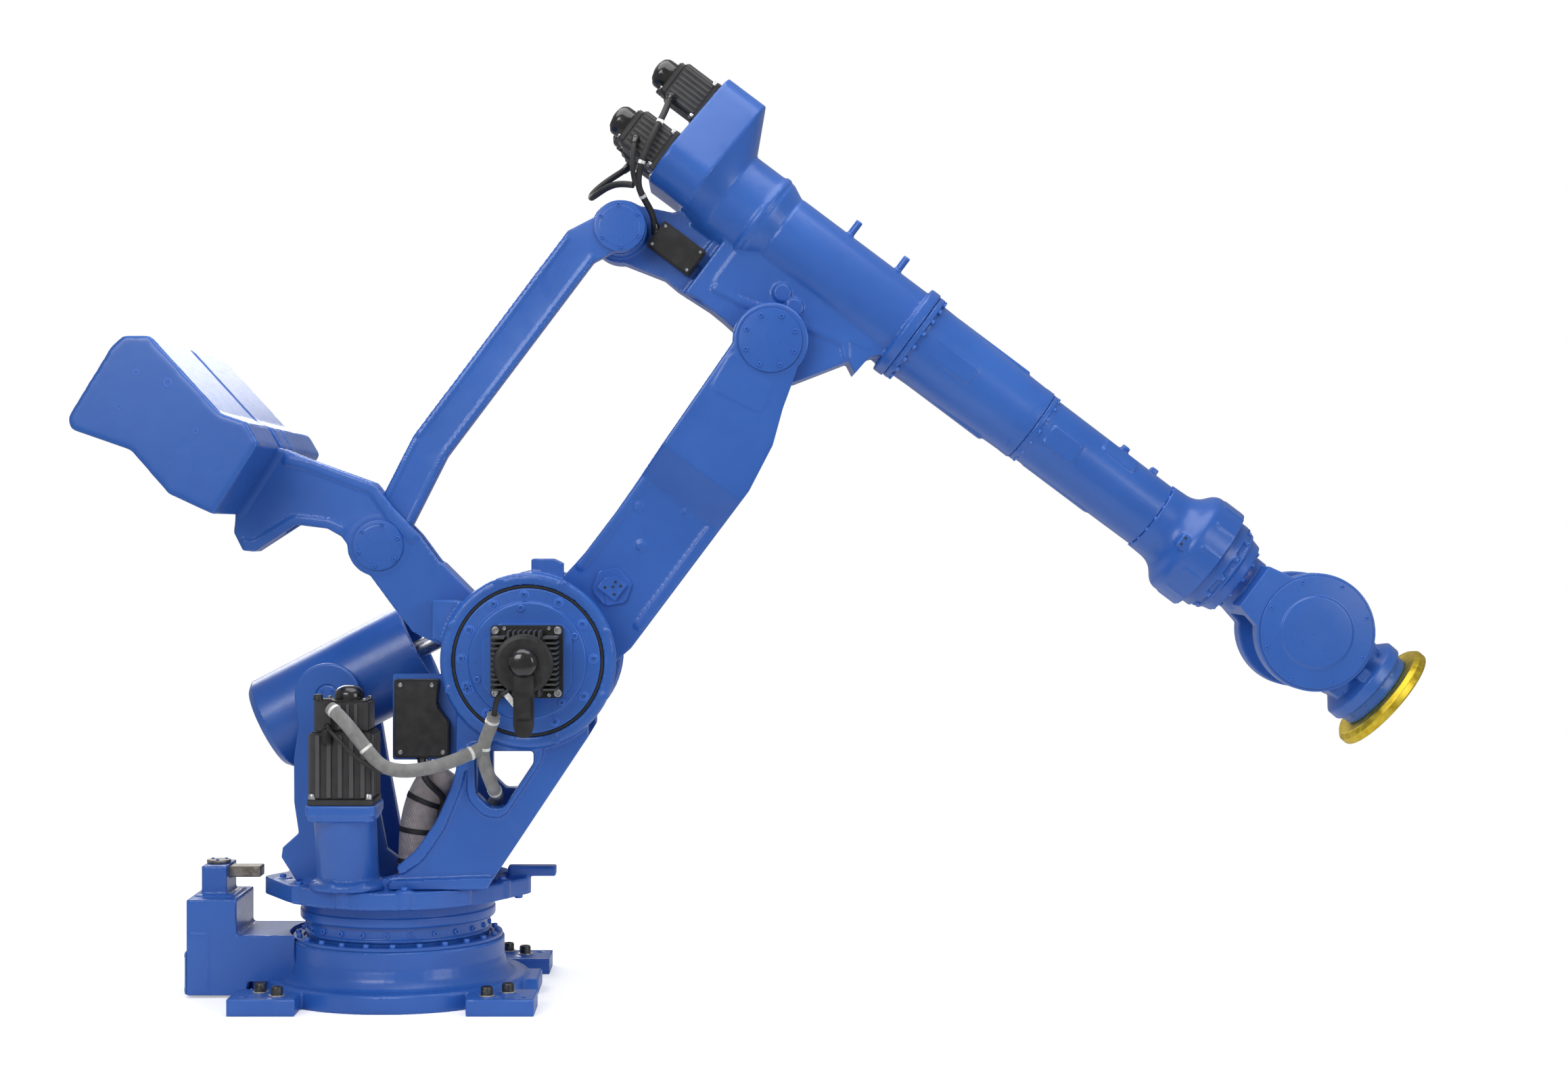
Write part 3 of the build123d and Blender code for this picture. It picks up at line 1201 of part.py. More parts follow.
with BuildPart() as tool_flange:
    face = wrist(0).from_local_coords((FLANGE_REACH, 0, 0))
    with BuildSketch(Plane(face, x_dir=(0, 1, 0), z_dir=wrist(0).x_dir)):
        Circle(TOOL_FLANGE_RADIUS)
    extrude(amount=-TOOL_FLANGE_THICKNESS)
    rear_edges = tool_flange.edges().filter_by(GeomType.CIRCLE).sort_by(TOOL_AXIS)
    chamfer(rear_edges[0], TOOL_FLANGE_CHAMFER)
    with BuildSketch(Plane(face, x_dir=(0, 1, 0), z_dir=wrist(0).x_dir)):
        with PolarLocations(TOOL_BOLT_CIRCLE / 2, TOOL_BOLT_COUNT):
            Circle(TOOL_BOLT_HOLE)
    extrude(amount=-TOOL_FLANGE_THICKNESS, mode=Mode.SUBTRACT)
    with BuildSketch(Plane(face, x_dir=(0, 1, 0), z_dir=wrist(0).x_dir)):
        Circle(TOOL_BORE)
    extrude(amount=-TOOL_BORE_DEPTH, mode=Mode.SUBTRACT)
save(tool_flange, "tool_flange")

# Cables and harness that the machine holds at both ends

for cable_name, route, diameter in (
    ("motor_sleeve", MOTOR_SLEEVE_ROUTE, SLEEVE),
    ("drop_sleeve", DROP_SLEEVE_ROUTE, SLEEVE),
    ("near_motor_lead", NEAR_MOTOR_LEAD_ROUTE, LEAD),
    ("slew_motor_lead", SLEW_MOTOR_LEAD_ROUTE, THIN_LEAD),
    ("box_lead", BOX_LEAD_ROUTE, FOREARM_CABLE),
    ("inner_harness", INNER_HARNESS_ROUTE, BUNDLE),
    ("upper_motor_cable", on_forearm(UPPER_CABLE_ROUTE), FOREARM_CABLE),
    ("near_motor_cable", on_forearm(NEAR_CABLE_ROUTE), LEAD),
    ("far_motor_cable", on_forearm(FAR_CABLE_ROUTE), FOREARM_CABLE),
):
    save(tube(route, diameter), cable_name)
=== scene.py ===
# Industrial robot arm: castings, motors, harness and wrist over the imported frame
# Local sizes are millimetres and are scaled to metres when a piece is made.
import json
from math import atan2, cos, degrees, pi, radians, sin

import bmesh
import bpy
from mathutils import Matrix, Vector


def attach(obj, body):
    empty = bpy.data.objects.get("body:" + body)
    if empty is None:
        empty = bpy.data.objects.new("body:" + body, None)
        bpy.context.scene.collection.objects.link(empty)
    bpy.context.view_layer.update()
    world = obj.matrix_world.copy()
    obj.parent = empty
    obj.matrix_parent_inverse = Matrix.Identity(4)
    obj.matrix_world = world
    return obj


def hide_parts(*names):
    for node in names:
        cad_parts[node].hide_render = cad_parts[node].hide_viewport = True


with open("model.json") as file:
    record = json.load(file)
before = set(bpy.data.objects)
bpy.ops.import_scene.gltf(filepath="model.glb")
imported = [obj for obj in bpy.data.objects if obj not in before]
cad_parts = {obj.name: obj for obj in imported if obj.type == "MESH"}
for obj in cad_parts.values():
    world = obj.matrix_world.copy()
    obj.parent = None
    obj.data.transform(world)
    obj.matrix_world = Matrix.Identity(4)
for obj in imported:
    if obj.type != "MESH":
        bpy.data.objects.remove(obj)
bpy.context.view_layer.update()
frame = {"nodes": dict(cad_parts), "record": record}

MM = 0.001
UP = Matrix.Identity(4)

# Joint centres and directions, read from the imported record
joints = {joint["name"]: joint for joint in frame["record"]["behaviour"]["joints"]}
centre = {name: [value / MM for value in joint["pos_m"]] for name, joint in joints.items()}


def place(x, z, angle=0.0, y=0.0):
    """Frame with x turned up from forward by angle, y to the upper side and z to the near side."""
    c, s = cos(radians(angle)), sin(radians(angle))
    return Matrix(((c, -s, 0, x), (0, 0, -1, y), (s, c, 0, z), (0, 0, 0, 1)))


def joint_place(name, angle=0.0):
    return place(centre[name][0], centre[name][2], angle)


def direction(axis):
    return degrees(atan2(axis[2], axis[0]))


shoulder_x, _, shoulder_z = centre["lower_arm_swing"]
elbow_x, _, elbow_z = centre["elbow_pin_hold"]
ARM_ANGLE = degrees(atan2(elbow_z - shoulder_z, elbow_x - shoulder_x))
ARM_LENGTH = (Vector((elbow_x, elbow_z)) - Vector((shoulder_x, shoulder_z))).length
FOREARM_ANGLE = direction(joints["wrist_roll"]["axis"])
TOOL_ANGLE = direction(joints["tool_turn"]["axis"])
SHOULDER = joint_place("lower_arm_swing")
ARM = joint_place("lower_arm_swing", ARM_ANGLE)
LEVER = joint_place("link_pin_hold")
FOREARM = joint_place("elbow_pin_hold", FOREARM_ANGLE)
WRIST = joint_place("wrist_bend", TOOL_ANGLE)
DRUM = joint_place("wrist_bend", FOREARM_ANGLE)
AXIS_RISE = (FOREARM.inverted() @ WRIST.translation).y
CRANK = (FOREARM.inverted() @ Vector((
    centre["link_pin_hold"][0] + elbow_x - shoulder_x, 0, centre["link_pin_hold"][2] + elbow_z - shoulder_z,
))).x
TURN_TO_X = Matrix(((0, 0, 1, 0), (1, 0, 0, 0), (0, 1, 0, 0), (0, 0, 0, 1)))
TUBE = FOREARM @ Matrix.Translation((0, AXIS_RISE, 0)) @ TURN_TO_X
TOOL = WRIST @ TURN_TO_X


def near(frame_matrix, x=0.0, y=0.0, depth=0.0):
    """The frame moved by x and y in its own plane and by depth along its z."""
    return frame_matrix @ Matrix.Translation((x, y, depth))


def mirrored(matrix, sign):
    """The frame itself for the near side, and its mirror image for the far side."""
    return matrix if sign < 0 else Matrix.Scale(-1, 4, (0, 1, 0)) @ matrix


def at_angles(matrix, radius, angles, depth=0.0):
    """Frames on a circle about the matrix's z, one at each angle."""
    turns = [radians(angle) for angle in angles]
    return [near(matrix, radius * cos(turn), radius * sin(turn), depth) for turn in turns]


def on_circle(matrix, radius, count, start=0.0, depth=0.0):
    """Frames spread evenly on a circle about the matrix's z."""
    return at_angles(matrix, radius, [start + 360 * k / count for k in range(count)], depth)


def on_grid(matrix, across, up, depth=0.0):
    """Frames at every crossing of two rows of places."""
    return [near(matrix, x, y, depth) for x in across for y in up]


# Camera, placed first: straight on from the near side
CAMERA_PLACE = (0.981, -7.665, 1.431)
CAMERA_LENS = 56.8
CAMERA_SHIFT = (0.0439, -0.0080)

camera_data = bpy.data.cameras.new("camera")
camera_data.sensor_width = 36
camera_data.lens = CAMERA_LENS
camera_data.shift_x, camera_data.shift_y = CAMERA_SHIFT
camera = bpy.data.objects.new("camera", camera_data)
camera.location = CAMERA_PLACE
camera.rotation_euler = (radians(90), 0, 0)
bpy.context.collection.objects.link(camera)
bpy.context.scene.camera = camera


# Materials

def new_material(name):
    """The material, its nodes and links, and its surface shader."""
    material = bpy.data.materials.new(name)
    material.use_nodes = True
    tree = material.node_tree
    return material, tree.nodes, tree.links, tree.nodes["Principled BSDF"]


def noise(nodes, links, scale, detail, roughness=0.55):
    """Value of a noise texture in the object's own space."""
    texture = nodes.new("ShaderNodeTexNoise")
    texture.inputs["Scale"].default_value = scale
    texture.inputs["Detail"].default_value = detail
    texture.inputs["Roughness"].default_value = roughness
    links.new(object_points(nodes), texture.inputs["Vector"])
    return texture.outputs["Fac"]


def object_points(nodes):
    return nodes.new("ShaderNodeTexCoord").outputs["Object"]


def ramp(nodes, links, source, stops):
    """Colour ramp fed by a value: stops are (position, colour) pairs."""
    node = nodes.new("ShaderNodeValToRGB")
    elements = node.color_ramp.elements
    while len(elements) < len(stops):
        elements.new(0.5)
    for element, (position, colour) in zip(elements, stops):
        element.position = position
        element.color = (*colour, 1)
    links.new(source, node.inputs["Fac"])
    return node.outputs["Color"]


def span(nodes, links, source, low, high, out_low, out_high):
    """A value mapped from one range to another, held at the ends."""
    node = nodes.new("ShaderNodeMapRange")
    for socket, value in (("From Min", low), ("From Max", high), ("To Min", out_low), ("To Max", out_high)):
        node.inputs[socket].default_value = value
    links.new(source, node.inputs["Value"])
    return node.outputs["Result"]


def bump(nodes, links, height, distance, strength, after=None):
    node = nodes.new("ShaderNodeBump")
    node.inputs["Distance"].default_value = distance
    node.inputs["Strength"].default_value = strength
    links.new(height, node.inputs["Height"])
    if after:
        links.new(after, node.inputs["Normal"])
    return node.outputs["Normal"]


def blend_colours(nodes, links, factor, first, second):
    node = nodes.new("ShaderNodeMix")
    node.data_type = "RGBA"
    links.new(factor, node.inputs["Factor"])
    for socket, colour in ((node.inputs[6], first), (node.inputs[7], second)):
        if isinstance(colour, tuple):
            socket.default_value = (*colour, 1)
        else:
            links.new(colour, socket)
    return node.outputs[2]


def edge_highlight_mask(nodes, links, low, high):
    """Mask of the painted edge highlight: zero on flat metal and one on sharp outer edges."""
    geometry = nodes.new("ShaderNodeNewGeometry")
    return span(nodes, links, geometry.outputs["Pointiness"], low, high, 0.0, 1.0)


def paint(name, deep, light, roughness, peel, cast_unevenness):
    """Enamel over cast iron: cloudy colour, fine orange peel, slow unevenness and a painted highlight on
    edges.
    """
    material, nodes, links, shader = new_material(name)
    cloud, grain = noise(nodes, links, 3.0, 4.0), noise(nodes, links, 420.0, 2.0)
    swell, scuff = noise(nodes, links, 26.0, 3.0), noise(nodes, links, 60.0, 6.0, 0.7)
    body = ramp(nodes, links, cloud, ((0.3, deep), (0.7, light)))
    # Paler colour on sharp edges: a painted highlight
    painted_highlight = tuple(min(1.0, value * 1.5 + 0.02) for value in light)
    colour = blend_colours(nodes, links, edge_highlight_mask(nodes, links, 0.53, 0.62), body, painted_highlight)
    links.new(colour, shader.inputs["Base Color"])
    scuffed = span(nodes, links, scuff, 0.3, 0.75, roughness - 0.05, roughness + 0.1)
    links.new(scuffed, shader.inputs["Roughness"])
    slow = bump(nodes, links, swell, 0.0012, cast_unevenness)
    links.new(bump(nodes, links, grain, 0.00035, peel, slow), shader.inputs["Normal"])
    shader.inputs["Coat Weight"].default_value = 0.25
    shader.inputs["Coat Roughness"].default_value = 0.2
    return material


def bare_metal(name, dark, bright, roughness, brushed=90.0):
    """Machined or plated metal with fine tool marks and a little grime."""
    material, nodes, links, shader = new_material(name)
    marks, grime = noise(nodes, links, brushed * 4, 2.0), noise(nodes, links, brushed, 5.0)
    links.new(ramp(nodes, links, grime, ((0.35, dark), (0.65, bright))), shader.inputs["Base Color"])
    grimy = span(nodes, links, grime, 0.3, 0.7, roughness, roughness + 0.18)
    links.new(grimy, shader.inputs["Roughness"])
    links.new(bump(nodes, links, marks, 0.0003, 0.25), shader.inputs["Normal"])
    shader.inputs["Metallic"].default_value = 1.0
    return material


def dark_plastic(name, colour, roughness, grain_scale=600.0, coat=0.0):
    """Enamel, rubber or moulded plastic with a fine grain, dusty patches and a painted highlight on edges."""
    material, nodes, links, shader = new_material(name)
    grain, dust = noise(nodes, links, grain_scale, 2.0), noise(nodes, links, 30.0, 5.0)
    dusty = tuple(value * 2.2 + 0.006 for value in colour)
    body = ramp(nodes, links, dust, ((0.4, colour), (0.8, dusty)))
    # Lighter colour on sharp edges: a painted highlight
    edge_highlight_tint = tuple(value * 3 + 0.05 for value in colour)
    with_painted_highlight = blend_colours(nodes, links, edge_highlight_mask(nodes, links, 0.55, 0.68), body, edge_highlight_tint)
    links.new(with_painted_highlight, shader.inputs["Base Color"])
    matt = span(nodes, links, dust, 0.3, 0.75, roughness - 0.05, roughness + 0.12)
    links.new(matt, shader.inputs["Roughness"])
    links.new(bump(nodes, links, grain, 0.0003, 0.2), shader.inputs["Normal"])
    shader.inputs["Coat Weight"].default_value = coat
    return material


def woven(name, dark, light, thread):
    """Braided or wrapped cloth: crossing threads and slow creases under a little sheen, with painted shade in
    the creases and between the threads.
    """
    material, nodes, links, shader = new_material(name)
    weave = nodes.new("ShaderNodeMath")
    weave.operation = "MAXIMUM"
    for turn, height in zip((0.7, -0.7), weave.inputs):
        mapping = nodes.new("ShaderNodeMapping")
        mapping.inputs["Rotation"].default_value = (turn, turn, turn)
        wave = nodes.new("ShaderNodeTexWave")
        wave.inputs["Scale"].default_value = thread
        wave.inputs["Distortion"].default_value = 1.5
        links.new(object_points(nodes), mapping.inputs["Vector"])
        links.new(mapping.outputs["Vector"], wave.inputs["Vector"])
        links.new(wave.outputs["Fac"], height)
    crease = noise(nodes, links, 34.0, 4.0)
    # Creases are darker where their bump is low: painted shade
    shade = ramp(nodes, links, crease, ((0.3, dark), (0.7, light)))
    # Darker colour between the raised threads: painted shade
    deep = tuple(value * 0.55 for value in dark)
    raised = span(nodes, links, weave.outputs["Value"], 0.2, 0.9, 0.0, 1.0)
    links.new(blend_colours(nodes, links, raised, deep, shade), shader.inputs["Base Color"])
    slow = bump(nodes, links, crease, 0.004, 0.8)
    links.new(bump(nodes, links, weave.outputs["Value"], 0.0008, 0.7, slow), shader.inputs["Normal"])
    links.new(span(nodes, links, crease, 0.3, 0.7, 0.7, 0.9), shader.inputs["Roughness"])
    shader.inputs["Sheen Weight"].default_value = 0.3
    return material


BLUE = paint("blue_enamel", (0.020, 0.105, 0.44), (0.030, 0.135, 0.52), 0.34, 0.18, 0.30)
BLUE_MACHINED = paint("blue_enamel_smooth", (0.021, 0.108, 0.45), (0.029, 0.132, 0.51), 0.30, 0.12, 0.08)
BLACK = dark_plastic("black_motor_enamel", (0.010, 0.010, 0.011), 0.42)
GLOSS_BLACK = dark_plastic("black_gloss_cap", (0.008, 0.008, 0.009), 0.18, coat=0.5)
RUBBER = dark_plastic("black_cable_jacket", (0.016, 0.016, 0.017), 0.55, 300.0)
STEEL = bare_metal("zinc_steel", (0.42, 0.42, 0.43), (0.68, 0.68, 0.69), 0.24)
DARK_STEEL = bare_metal("blackened_steel", (0.05, 0.05, 0.055), (0.12, 0.12, 0.12), 0.36)
YELLOW = bare_metal("yellow_passivated", (0.60, 0.42, 0.03), (0.80, 0.62, 0.07), 0.34, 50.0)
PLATE_STEEL = bare_metal("worn_stop_steel", (0.20, 0.17, 0.14), (0.45, 0.43, 0.40), 0.45, 40.0)
SLEEVE = woven("grey_sleeve_weave", (0.24, 0.24, 0.235), (0.42, 0.42, 0.41), 260.0)
WRAP = woven("pale_wrap_cloth", (0.42, 0.36, 0.35), (0.66, 0.60, 0.59), 180.0)
CLIP = dark_plastic("white_clip", (0.62, 0.62, 0.60), 0.45)
SEAL = dark_plastic("seal_rubber", (0.009, 0.010, 0.012), 0.6)
WASHER = bare_metal("pale_washer", (0.50, 0.48, 0.44), (0.74, 0.72, 0.68), 0.38)


# Mesh helpers

SHARP_ANGLE = radians(32)
WELD_DISTANCE = 1e-5


def grown(outline, middle, factor):
    """The outline made larger or smaller about a middle point."""
    return [Vector(middle) + (Vector(point) - Vector(middle)) * factor for point in outline]
def rounded(points, radius, closed=False, steps=3):
    """The same outline with each corner eased by a short curve."""
    corners = [Vector(point) for point in points]
    trios = list(zip(corners, corners[1:], corners[2:]))
    if closed:
        trios = list(zip(corners[-1:] + corners[:-1], corners, corners[1:] + corners[:1]))
    eased = [] if closed else [corners[0]]
    for before, corner, after in trios:
        reach = min(radius, (before - corner).length * 0.45, (after - corner).length * 0.45)
        start = corner + (before - corner).normalized() * reach
        end = corner + (after - corner).normalized() * reach
        for step in range(steps + 1):
            t = step / steps
            eased.append(start * (1 - t) ** 2 + corner * 2 * t * (1 - t) + end * t ** 2)
    return eased if closed else eased + [corners[-1]]


def turned_row(bm, matrix, along, radius, steps):
    """A circle of points about the matrix's z, or a single point on it."""
    angles = [2 * pi * k / steps for k in range(steps if radius > 1e-6 else 1)]
    return [bm.verts.new(matrix @ Vector((radius * cos(a), radius * sin(a), along))) for a in angles]


def join_rows(bm, lower, upper):
    """Adds the faces between two closed rows of points."""
    for k in range(len(lower)):
        n = (k + 1) % len(lower)
        bm.faces.new((lower[k], lower[n], upper[n], upper[k]))


def lathe(bm, matrix, profile, steps=72, ease=0.0):
    """Adds a turned solid about the matrix's z: profile is (along, radius) pairs from end to end."""
    profile = [(profile[0][0], 0.0), *profile, (profile[-1][0], 0.0)]
    if ease:
        profile = rounded(profile, ease)
    rows = [turned_row(bm, matrix, along, radius, steps) for along, radius in profile]
    for lower, upper in zip(rows, rows[1:]):
        for k in range(steps):
            corners = [lower[k % len(lower)], lower[(k + 1) % len(lower)],
                       upper[(k + 1) % len(upper)], upper[k % len(upper)]]
            corners = list(dict.fromkeys(corners))
            if len(corners) > 2:
                bm.faces.new(corners)


def ring(bm, matrix, profile, steps=72, ease=0.0):
    """Adds a turned ring about the matrix's z: profile is a closed outline of (along, radius) pairs."""
    points = rounded(profile, ease, closed=True) if ease else profile
    rows = [turned_row(bm, matrix, along, radius, steps) for along, radius in points]
    for lower, upper in zip(rows, rows[1:] + rows[:1]):
        join_rows(bm, lower, upper)


def prism(bm, matrix, outline, low, high, corner=0.0, edge=0.0):
    """Adds an upright block over an outline, from low to high along the matrix's z."""
    points = rounded(outline, corner, closed=True) if corner else outline
    lower = [bm.verts.new(matrix @ Vector((x, y, low))) for x, y in points]
    upper = [bm.verts.new(matrix @ Vector((x, y, high))) for x, y in points]
    ends = (bm.faces.new(lower[::-1]), bm.faces.new(upper))
    join_rows(bm, lower, upper)
    if edge:
        rim = [line for face in ends for line in face.edges]
        bmesh.ops.bevel(bm, geom=rim, offset=edge, segments=2, affect="EDGES", clamp_overlap=True)


def block(bm, matrix, width, height, low, high, corner=0.0, edge=0.0):
    half_w, half_h = width / 2, height / 2
    outline = ((-half_w, -half_h), (half_w, -half_h), (half_w, half_h), (-half_w, half_h))
    prism(bm, matrix, outline, low, high, corner, edge)


def socket_screw(bm, matrix, radius, height):
    """Cap screw with a chamfered head and a round socket."""
    lathe(bm, matrix, (
        (0, radius), (height * 0.8, radius), (height, radius * 0.86), (height, radius * 0.56),
        (height * 0.45, radius * 0.5),
    ), steps=18)


def finish_object(name, mesh, body, material, replaced=()):
    obj = bpy.data.objects.new(name, mesh)
    bpy.context.collection.objects.link(obj)
    mesh.materials.clear()
    mesh.materials.append(material)
    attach(obj, body)
    if replaced:
        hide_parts(*replaced)
    return obj


def piece(name, bm, body, material, replaced=()):
    """Turns a mesh built in millimetres into an object on its body."""
    bmesh.ops.recalc_face_normals(bm, faces=bm.faces)
    bm.transform(Matrix.Scale(MM, 4))
    mesh = bpy.data.meshes.new(name)
    bm.to_mesh(mesh)
    bm.free()
    for polygon in mesh.polygons:
        polygon.use_smooth = True
    mesh.set_sharp_from_angle(angle=SHARP_ANGLE)
    return finish_object(name, mesh, body, material, replaced)


def painted_piece(name, bm, body, replaced=()):
    return piece(name, bm, body, BLUE_MACHINED, replaced)


def screws(name, places, radius, height, body, material=STEEL):
    """One object for a group of screws, each given by its own frame."""
    bm = bmesh.new()
    for matrix in places:
        socket_screw(bm, matrix, radius, height)
    return piece(name, bm, body, material)


def painted_screws(name, places, radius, height, body):
    return screws(name, places, radius, height, body, BLUE_MACHINED)


def cast(node, body, extras=None, voxel=4.5, passes=3, keep=0.3, material=BLUE):
    """A casting with soft edges: the node's solid and its extra ribs and pads, melted into one skin."""
    bm = bmesh.new()
    if extras:
        extras(bm)
    bmesh.ops.recalc_face_normals(bm, faces=bm.faces)
    bm.transform(Matrix.Scale(MM, 4))
    bm.from_mesh(frame["nodes"][node].data)
    bmesh.ops.remove_doubles(bm, verts=bm.verts, dist=WELD_DISTANCE)
    mesh = bpy.data.meshes.new(node + "_rough")
    bm.to_mesh(mesh)
    bm.free()
    rough = bpy.data.objects.new(node + "_rough", mesh)
    bpy.context.collection.objects.link(rough)
    remesh = rough.modifiers.new("skin", "REMESH")
    remesh.mode = "VOXEL"
    remesh.voxel_size = voxel * MM * 1
    soften = rough.modifiers.new("soften", "SMOOTH")
    soften.factor = 0.5
    soften.iterations = passes
    thin = rough.modifiers.new("thin", "DECIMATE")
    thin.ratio = keep
    weigh = rough.modifiers.new("weigh", "WEIGHTED_NORMAL")
    weigh.weight = 100
    graph = bpy.context.evaluated_depsgraph_get()
    skin = bpy.data.meshes.new_from_object(rough.evaluated_get(graph))
    bpy.data.objects.remove(rough)
    for polygon in skin.polygons:
        polygon.use_smooth = True
    return finish_object(node + "_cast", skin, body, material, (node,))


# Base

SIDES = (("near", -1), ("far", 1))
FOOT_BOLTS = ((309, 385), (367, 330))
PAD_TOP = 53
BARREL_TOP = 170
RING_TOP = BARREL_TOP + 10

pads = [near(UP, sx * x, sy * y) for x, y in FOOT_BOLTS for sx in (-1, 1) for sy in (-1, 1)]


def base_details(bm):
    """Fillet round the barrel, the round step on the plate and the pads under the bolts."""
    lathe(bm, UP, ((45, 372), (54, 368), (64, 350), (84, 336), (110, 330), (116, 326)), ease=6)
    lathe(bm, UP, ((40, 402), (57, 402), (57, 390)), ease=4)
    for pad in pads:
        lathe(bm, pad, ((44, 30), (PAD_TOP, 30)), steps=32)


cast("base_frame", "base", base_details)

bm = bmesh.new()
for pad in pads:
    lathe(bm, pad, ((PAD_TOP, 24), (PAD_TOP + 4, 24)), steps=28, ease=1)
piece("anchor_washers", bm, "base", WASHER)
screws("anchor_bolts", [near(pad, 0, 0, PAD_TOP + 4) for pad in pads], 18, 24, "base", DARK_STEEL)

bm = bmesh.new()
ring(bm, UP, ((BARREL_TOP, 322), (RING_TOP, 322), (RING_TOP, 290), (BARREL_TOP, 290)), ease=2)
painted_piece("barrel_ring", bm, "base", ("base_ring",))
painted_screws("barrel_bolts", on_circle(UP, 306, 24, 4, RING_TOP), 9, 10, "base")


def box_details(bm):
    """Raised strips on both sides and a raised plate on top of the cable box."""
    for y in (-145, 145):
        prism(bm, place(0, 0, 0, y), ((-620, 12), (-620, 196), (-560, 196), (-560, 12)), -3, 3, corner=8)
    block(bm, near(UP, -552), 120, 190, 292, 306, corner=10)


cast("cable_box", "base", box_details)
cast("slew_stop", "base", voxel=3.0, passes=2, keep=0.4, material=PLATE_STEEL)
bm = bmesh.new()
cover = Matrix(((0, 0, -1, -627), (1, 0, 0, 0), (0, 1, 0, 76), (0, 0, 0, 1)))
block(bm, cover, 288, 132, 0, 5, corner=8, edge=1)
painted_piece("rear_cover", bm, "base", ("box_cover",))
screws("rear_cover_screws", on_grid(cover, (-128, 0, 128), (-52, 52), 4), 7, 5, "base")
painted_screws("stop_cap_screws", on_circle(near(UP, -556), 24, 3, 30, 403), 5, 4, "base")

# Slewing part

LOBE_CIRCLE = 352
LOBE_TOP = 358

bm = bmesh.new()
lathe(bm, UP, (
    (170.4, 280), (186, 280), (190, 285), (196, 285), (200, 280), (233, 280), (234, 296), (240, 300),
    (262, 300), (266, 296), (290, 296), (300, 290),
), steps=96, ease=2)
painted_piece("slew_bearing", bm, "pedestal", ("slew_housing",))
slots = [Matrix.Rotation(radians(15 * k), 4, "Z") @ place(0, 212, 0, -279) for k in range(24)]
painted_screws("bearing_screws", slots, 8, 8, "pedestal")


def turntable_details(bm):
    """Lobes round the edge, a low step and three upright ribs of the turntable."""
    for lobe in on_circle(UP, LOBE_CIRCLE, 12, 10):
        lathe(bm, lobe, ((302, 26), (LOBE_TOP, 26)), steps=28, ease=3)
    lathe(bm, UP, ((350, 300), (362, 296), (366, 240)), ease=4)
    for x in (-60, 60, 150):
        prism(bm, place(x, 352, 0, -80), ((-60, 0), (60, 0), (40, 60), (-30, 86)), -14, 14, corner=10)


cast("turntable", "pedestal", turntable_details)
painted_screws("turntable_screws", on_circle(UP, LOBE_CIRCLE, 12, 10, LOBE_TOP), 10, 9, "pedestal")
painted_screws("front_lobe_bolt", [near(UP, 372, 0, 300) @ Matrix.Rotation(pi, 4, "X")], 13, 16, "pedestal")

SIDE_VIEW = place(0, 0)
FRAME_OUTER = 300
HUB_FACE = FRAME_OUTER + 30
WINDOW = ((270, 765), (270, 640), (311, 599), (352, 599), (440, 731), (440, 765))
WINDOW_MIDDLE = (352, 690)


def frame_details(sign):
    def details(bm):
        """Thick rolled rim, window frame, ribs and lugs of a shoulder frame."""
        face = mirrored(SIDE_VIEW, sign)
        hub = mirrored(SHOULDER, sign)
        ring(bm, hub, (
            (FRAME_OUTER - 8, 262), (HUB_FACE - 8, 262), (HUB_FACE + 2, 248), (HUB_FACE, 230),
            (FRAME_OUTER - 8, 228),
        ), ease=9)
        outer = rounded(grown(WINDOW, WINDOW_MIDDLE, 1.32), 26, True, 4)
        inner = rounded(grown(WINDOW, WINDOW_MIDDLE, 1.03), 20, True, 4)
        for k in range(len(outer)):
            n = (k + 1) % len(outer)
            prism(bm, face, (outer[k], outer[n], inner[n], inner[k]), FRAME_OUTER - 10, FRAME_OUTER + 13)
        rib = (
            (46, 398), (110, 440), (176, 536), (222, 650), (250, 760), (226, 770), (196, 660), (150, 556),
            (90, 470), (30, 420),
        )
        prism(bm, face, rib, FRAME_OUTER - 10, FRAME_OUTER + 12, corner=16)
        foot_rib = ((10, 354), (300, 354), (322, 392), (10, 380))
        prism(bm, face, foot_rib, FRAME_OUTER - 12, FRAME_OUTER + 16, corner=14)
        for lug in on_circle(hub, 251, 8, 20):
            lathe(bm, lug, ((HUB_FACE - 16, 12), (HUB_FACE + 3, 11)), steps=20)
    return details


cast("near_frame", "pedestal", frame_details(-1), voxel=4)
cast("far_frame", "pedestal", frame_details(1))
for plain in ("trunnion_leg", "front_web"):
    cast(plain, "pedestal", voxel=3.4, passes=2, keep=0.2)

SLEW_MOTOR = near(UP, -115, -345)


def bracket_details(bm):
    """Round foot with its bosses and the motor plate of the slew motor's bracket."""
    foot = near(UP, -115, -262)
    lathe(bm, foot, ((352, 118), (372, 116), (384, 96), (400, 90)), ease=8)
    for boss in at_angles(foot, 98, (200, 250, 300, 350)):
        lathe(bm, boss, ((352, 16), (382, 16)), steps=20, ease=3)
    block(bm, SLEW_MOTOR, 200, 200, 570, 592, corner=30)


cast("slew_motor_bracket", "pedestal", bracket_details)


# Shoulder drives and their motors

DRIVE_CIRCLE = 196
DRIVE_SCREWS = (-158, -128, -97, -66, -32, 2, 34, 62, 93, 121, 152, 178, 206, 234)


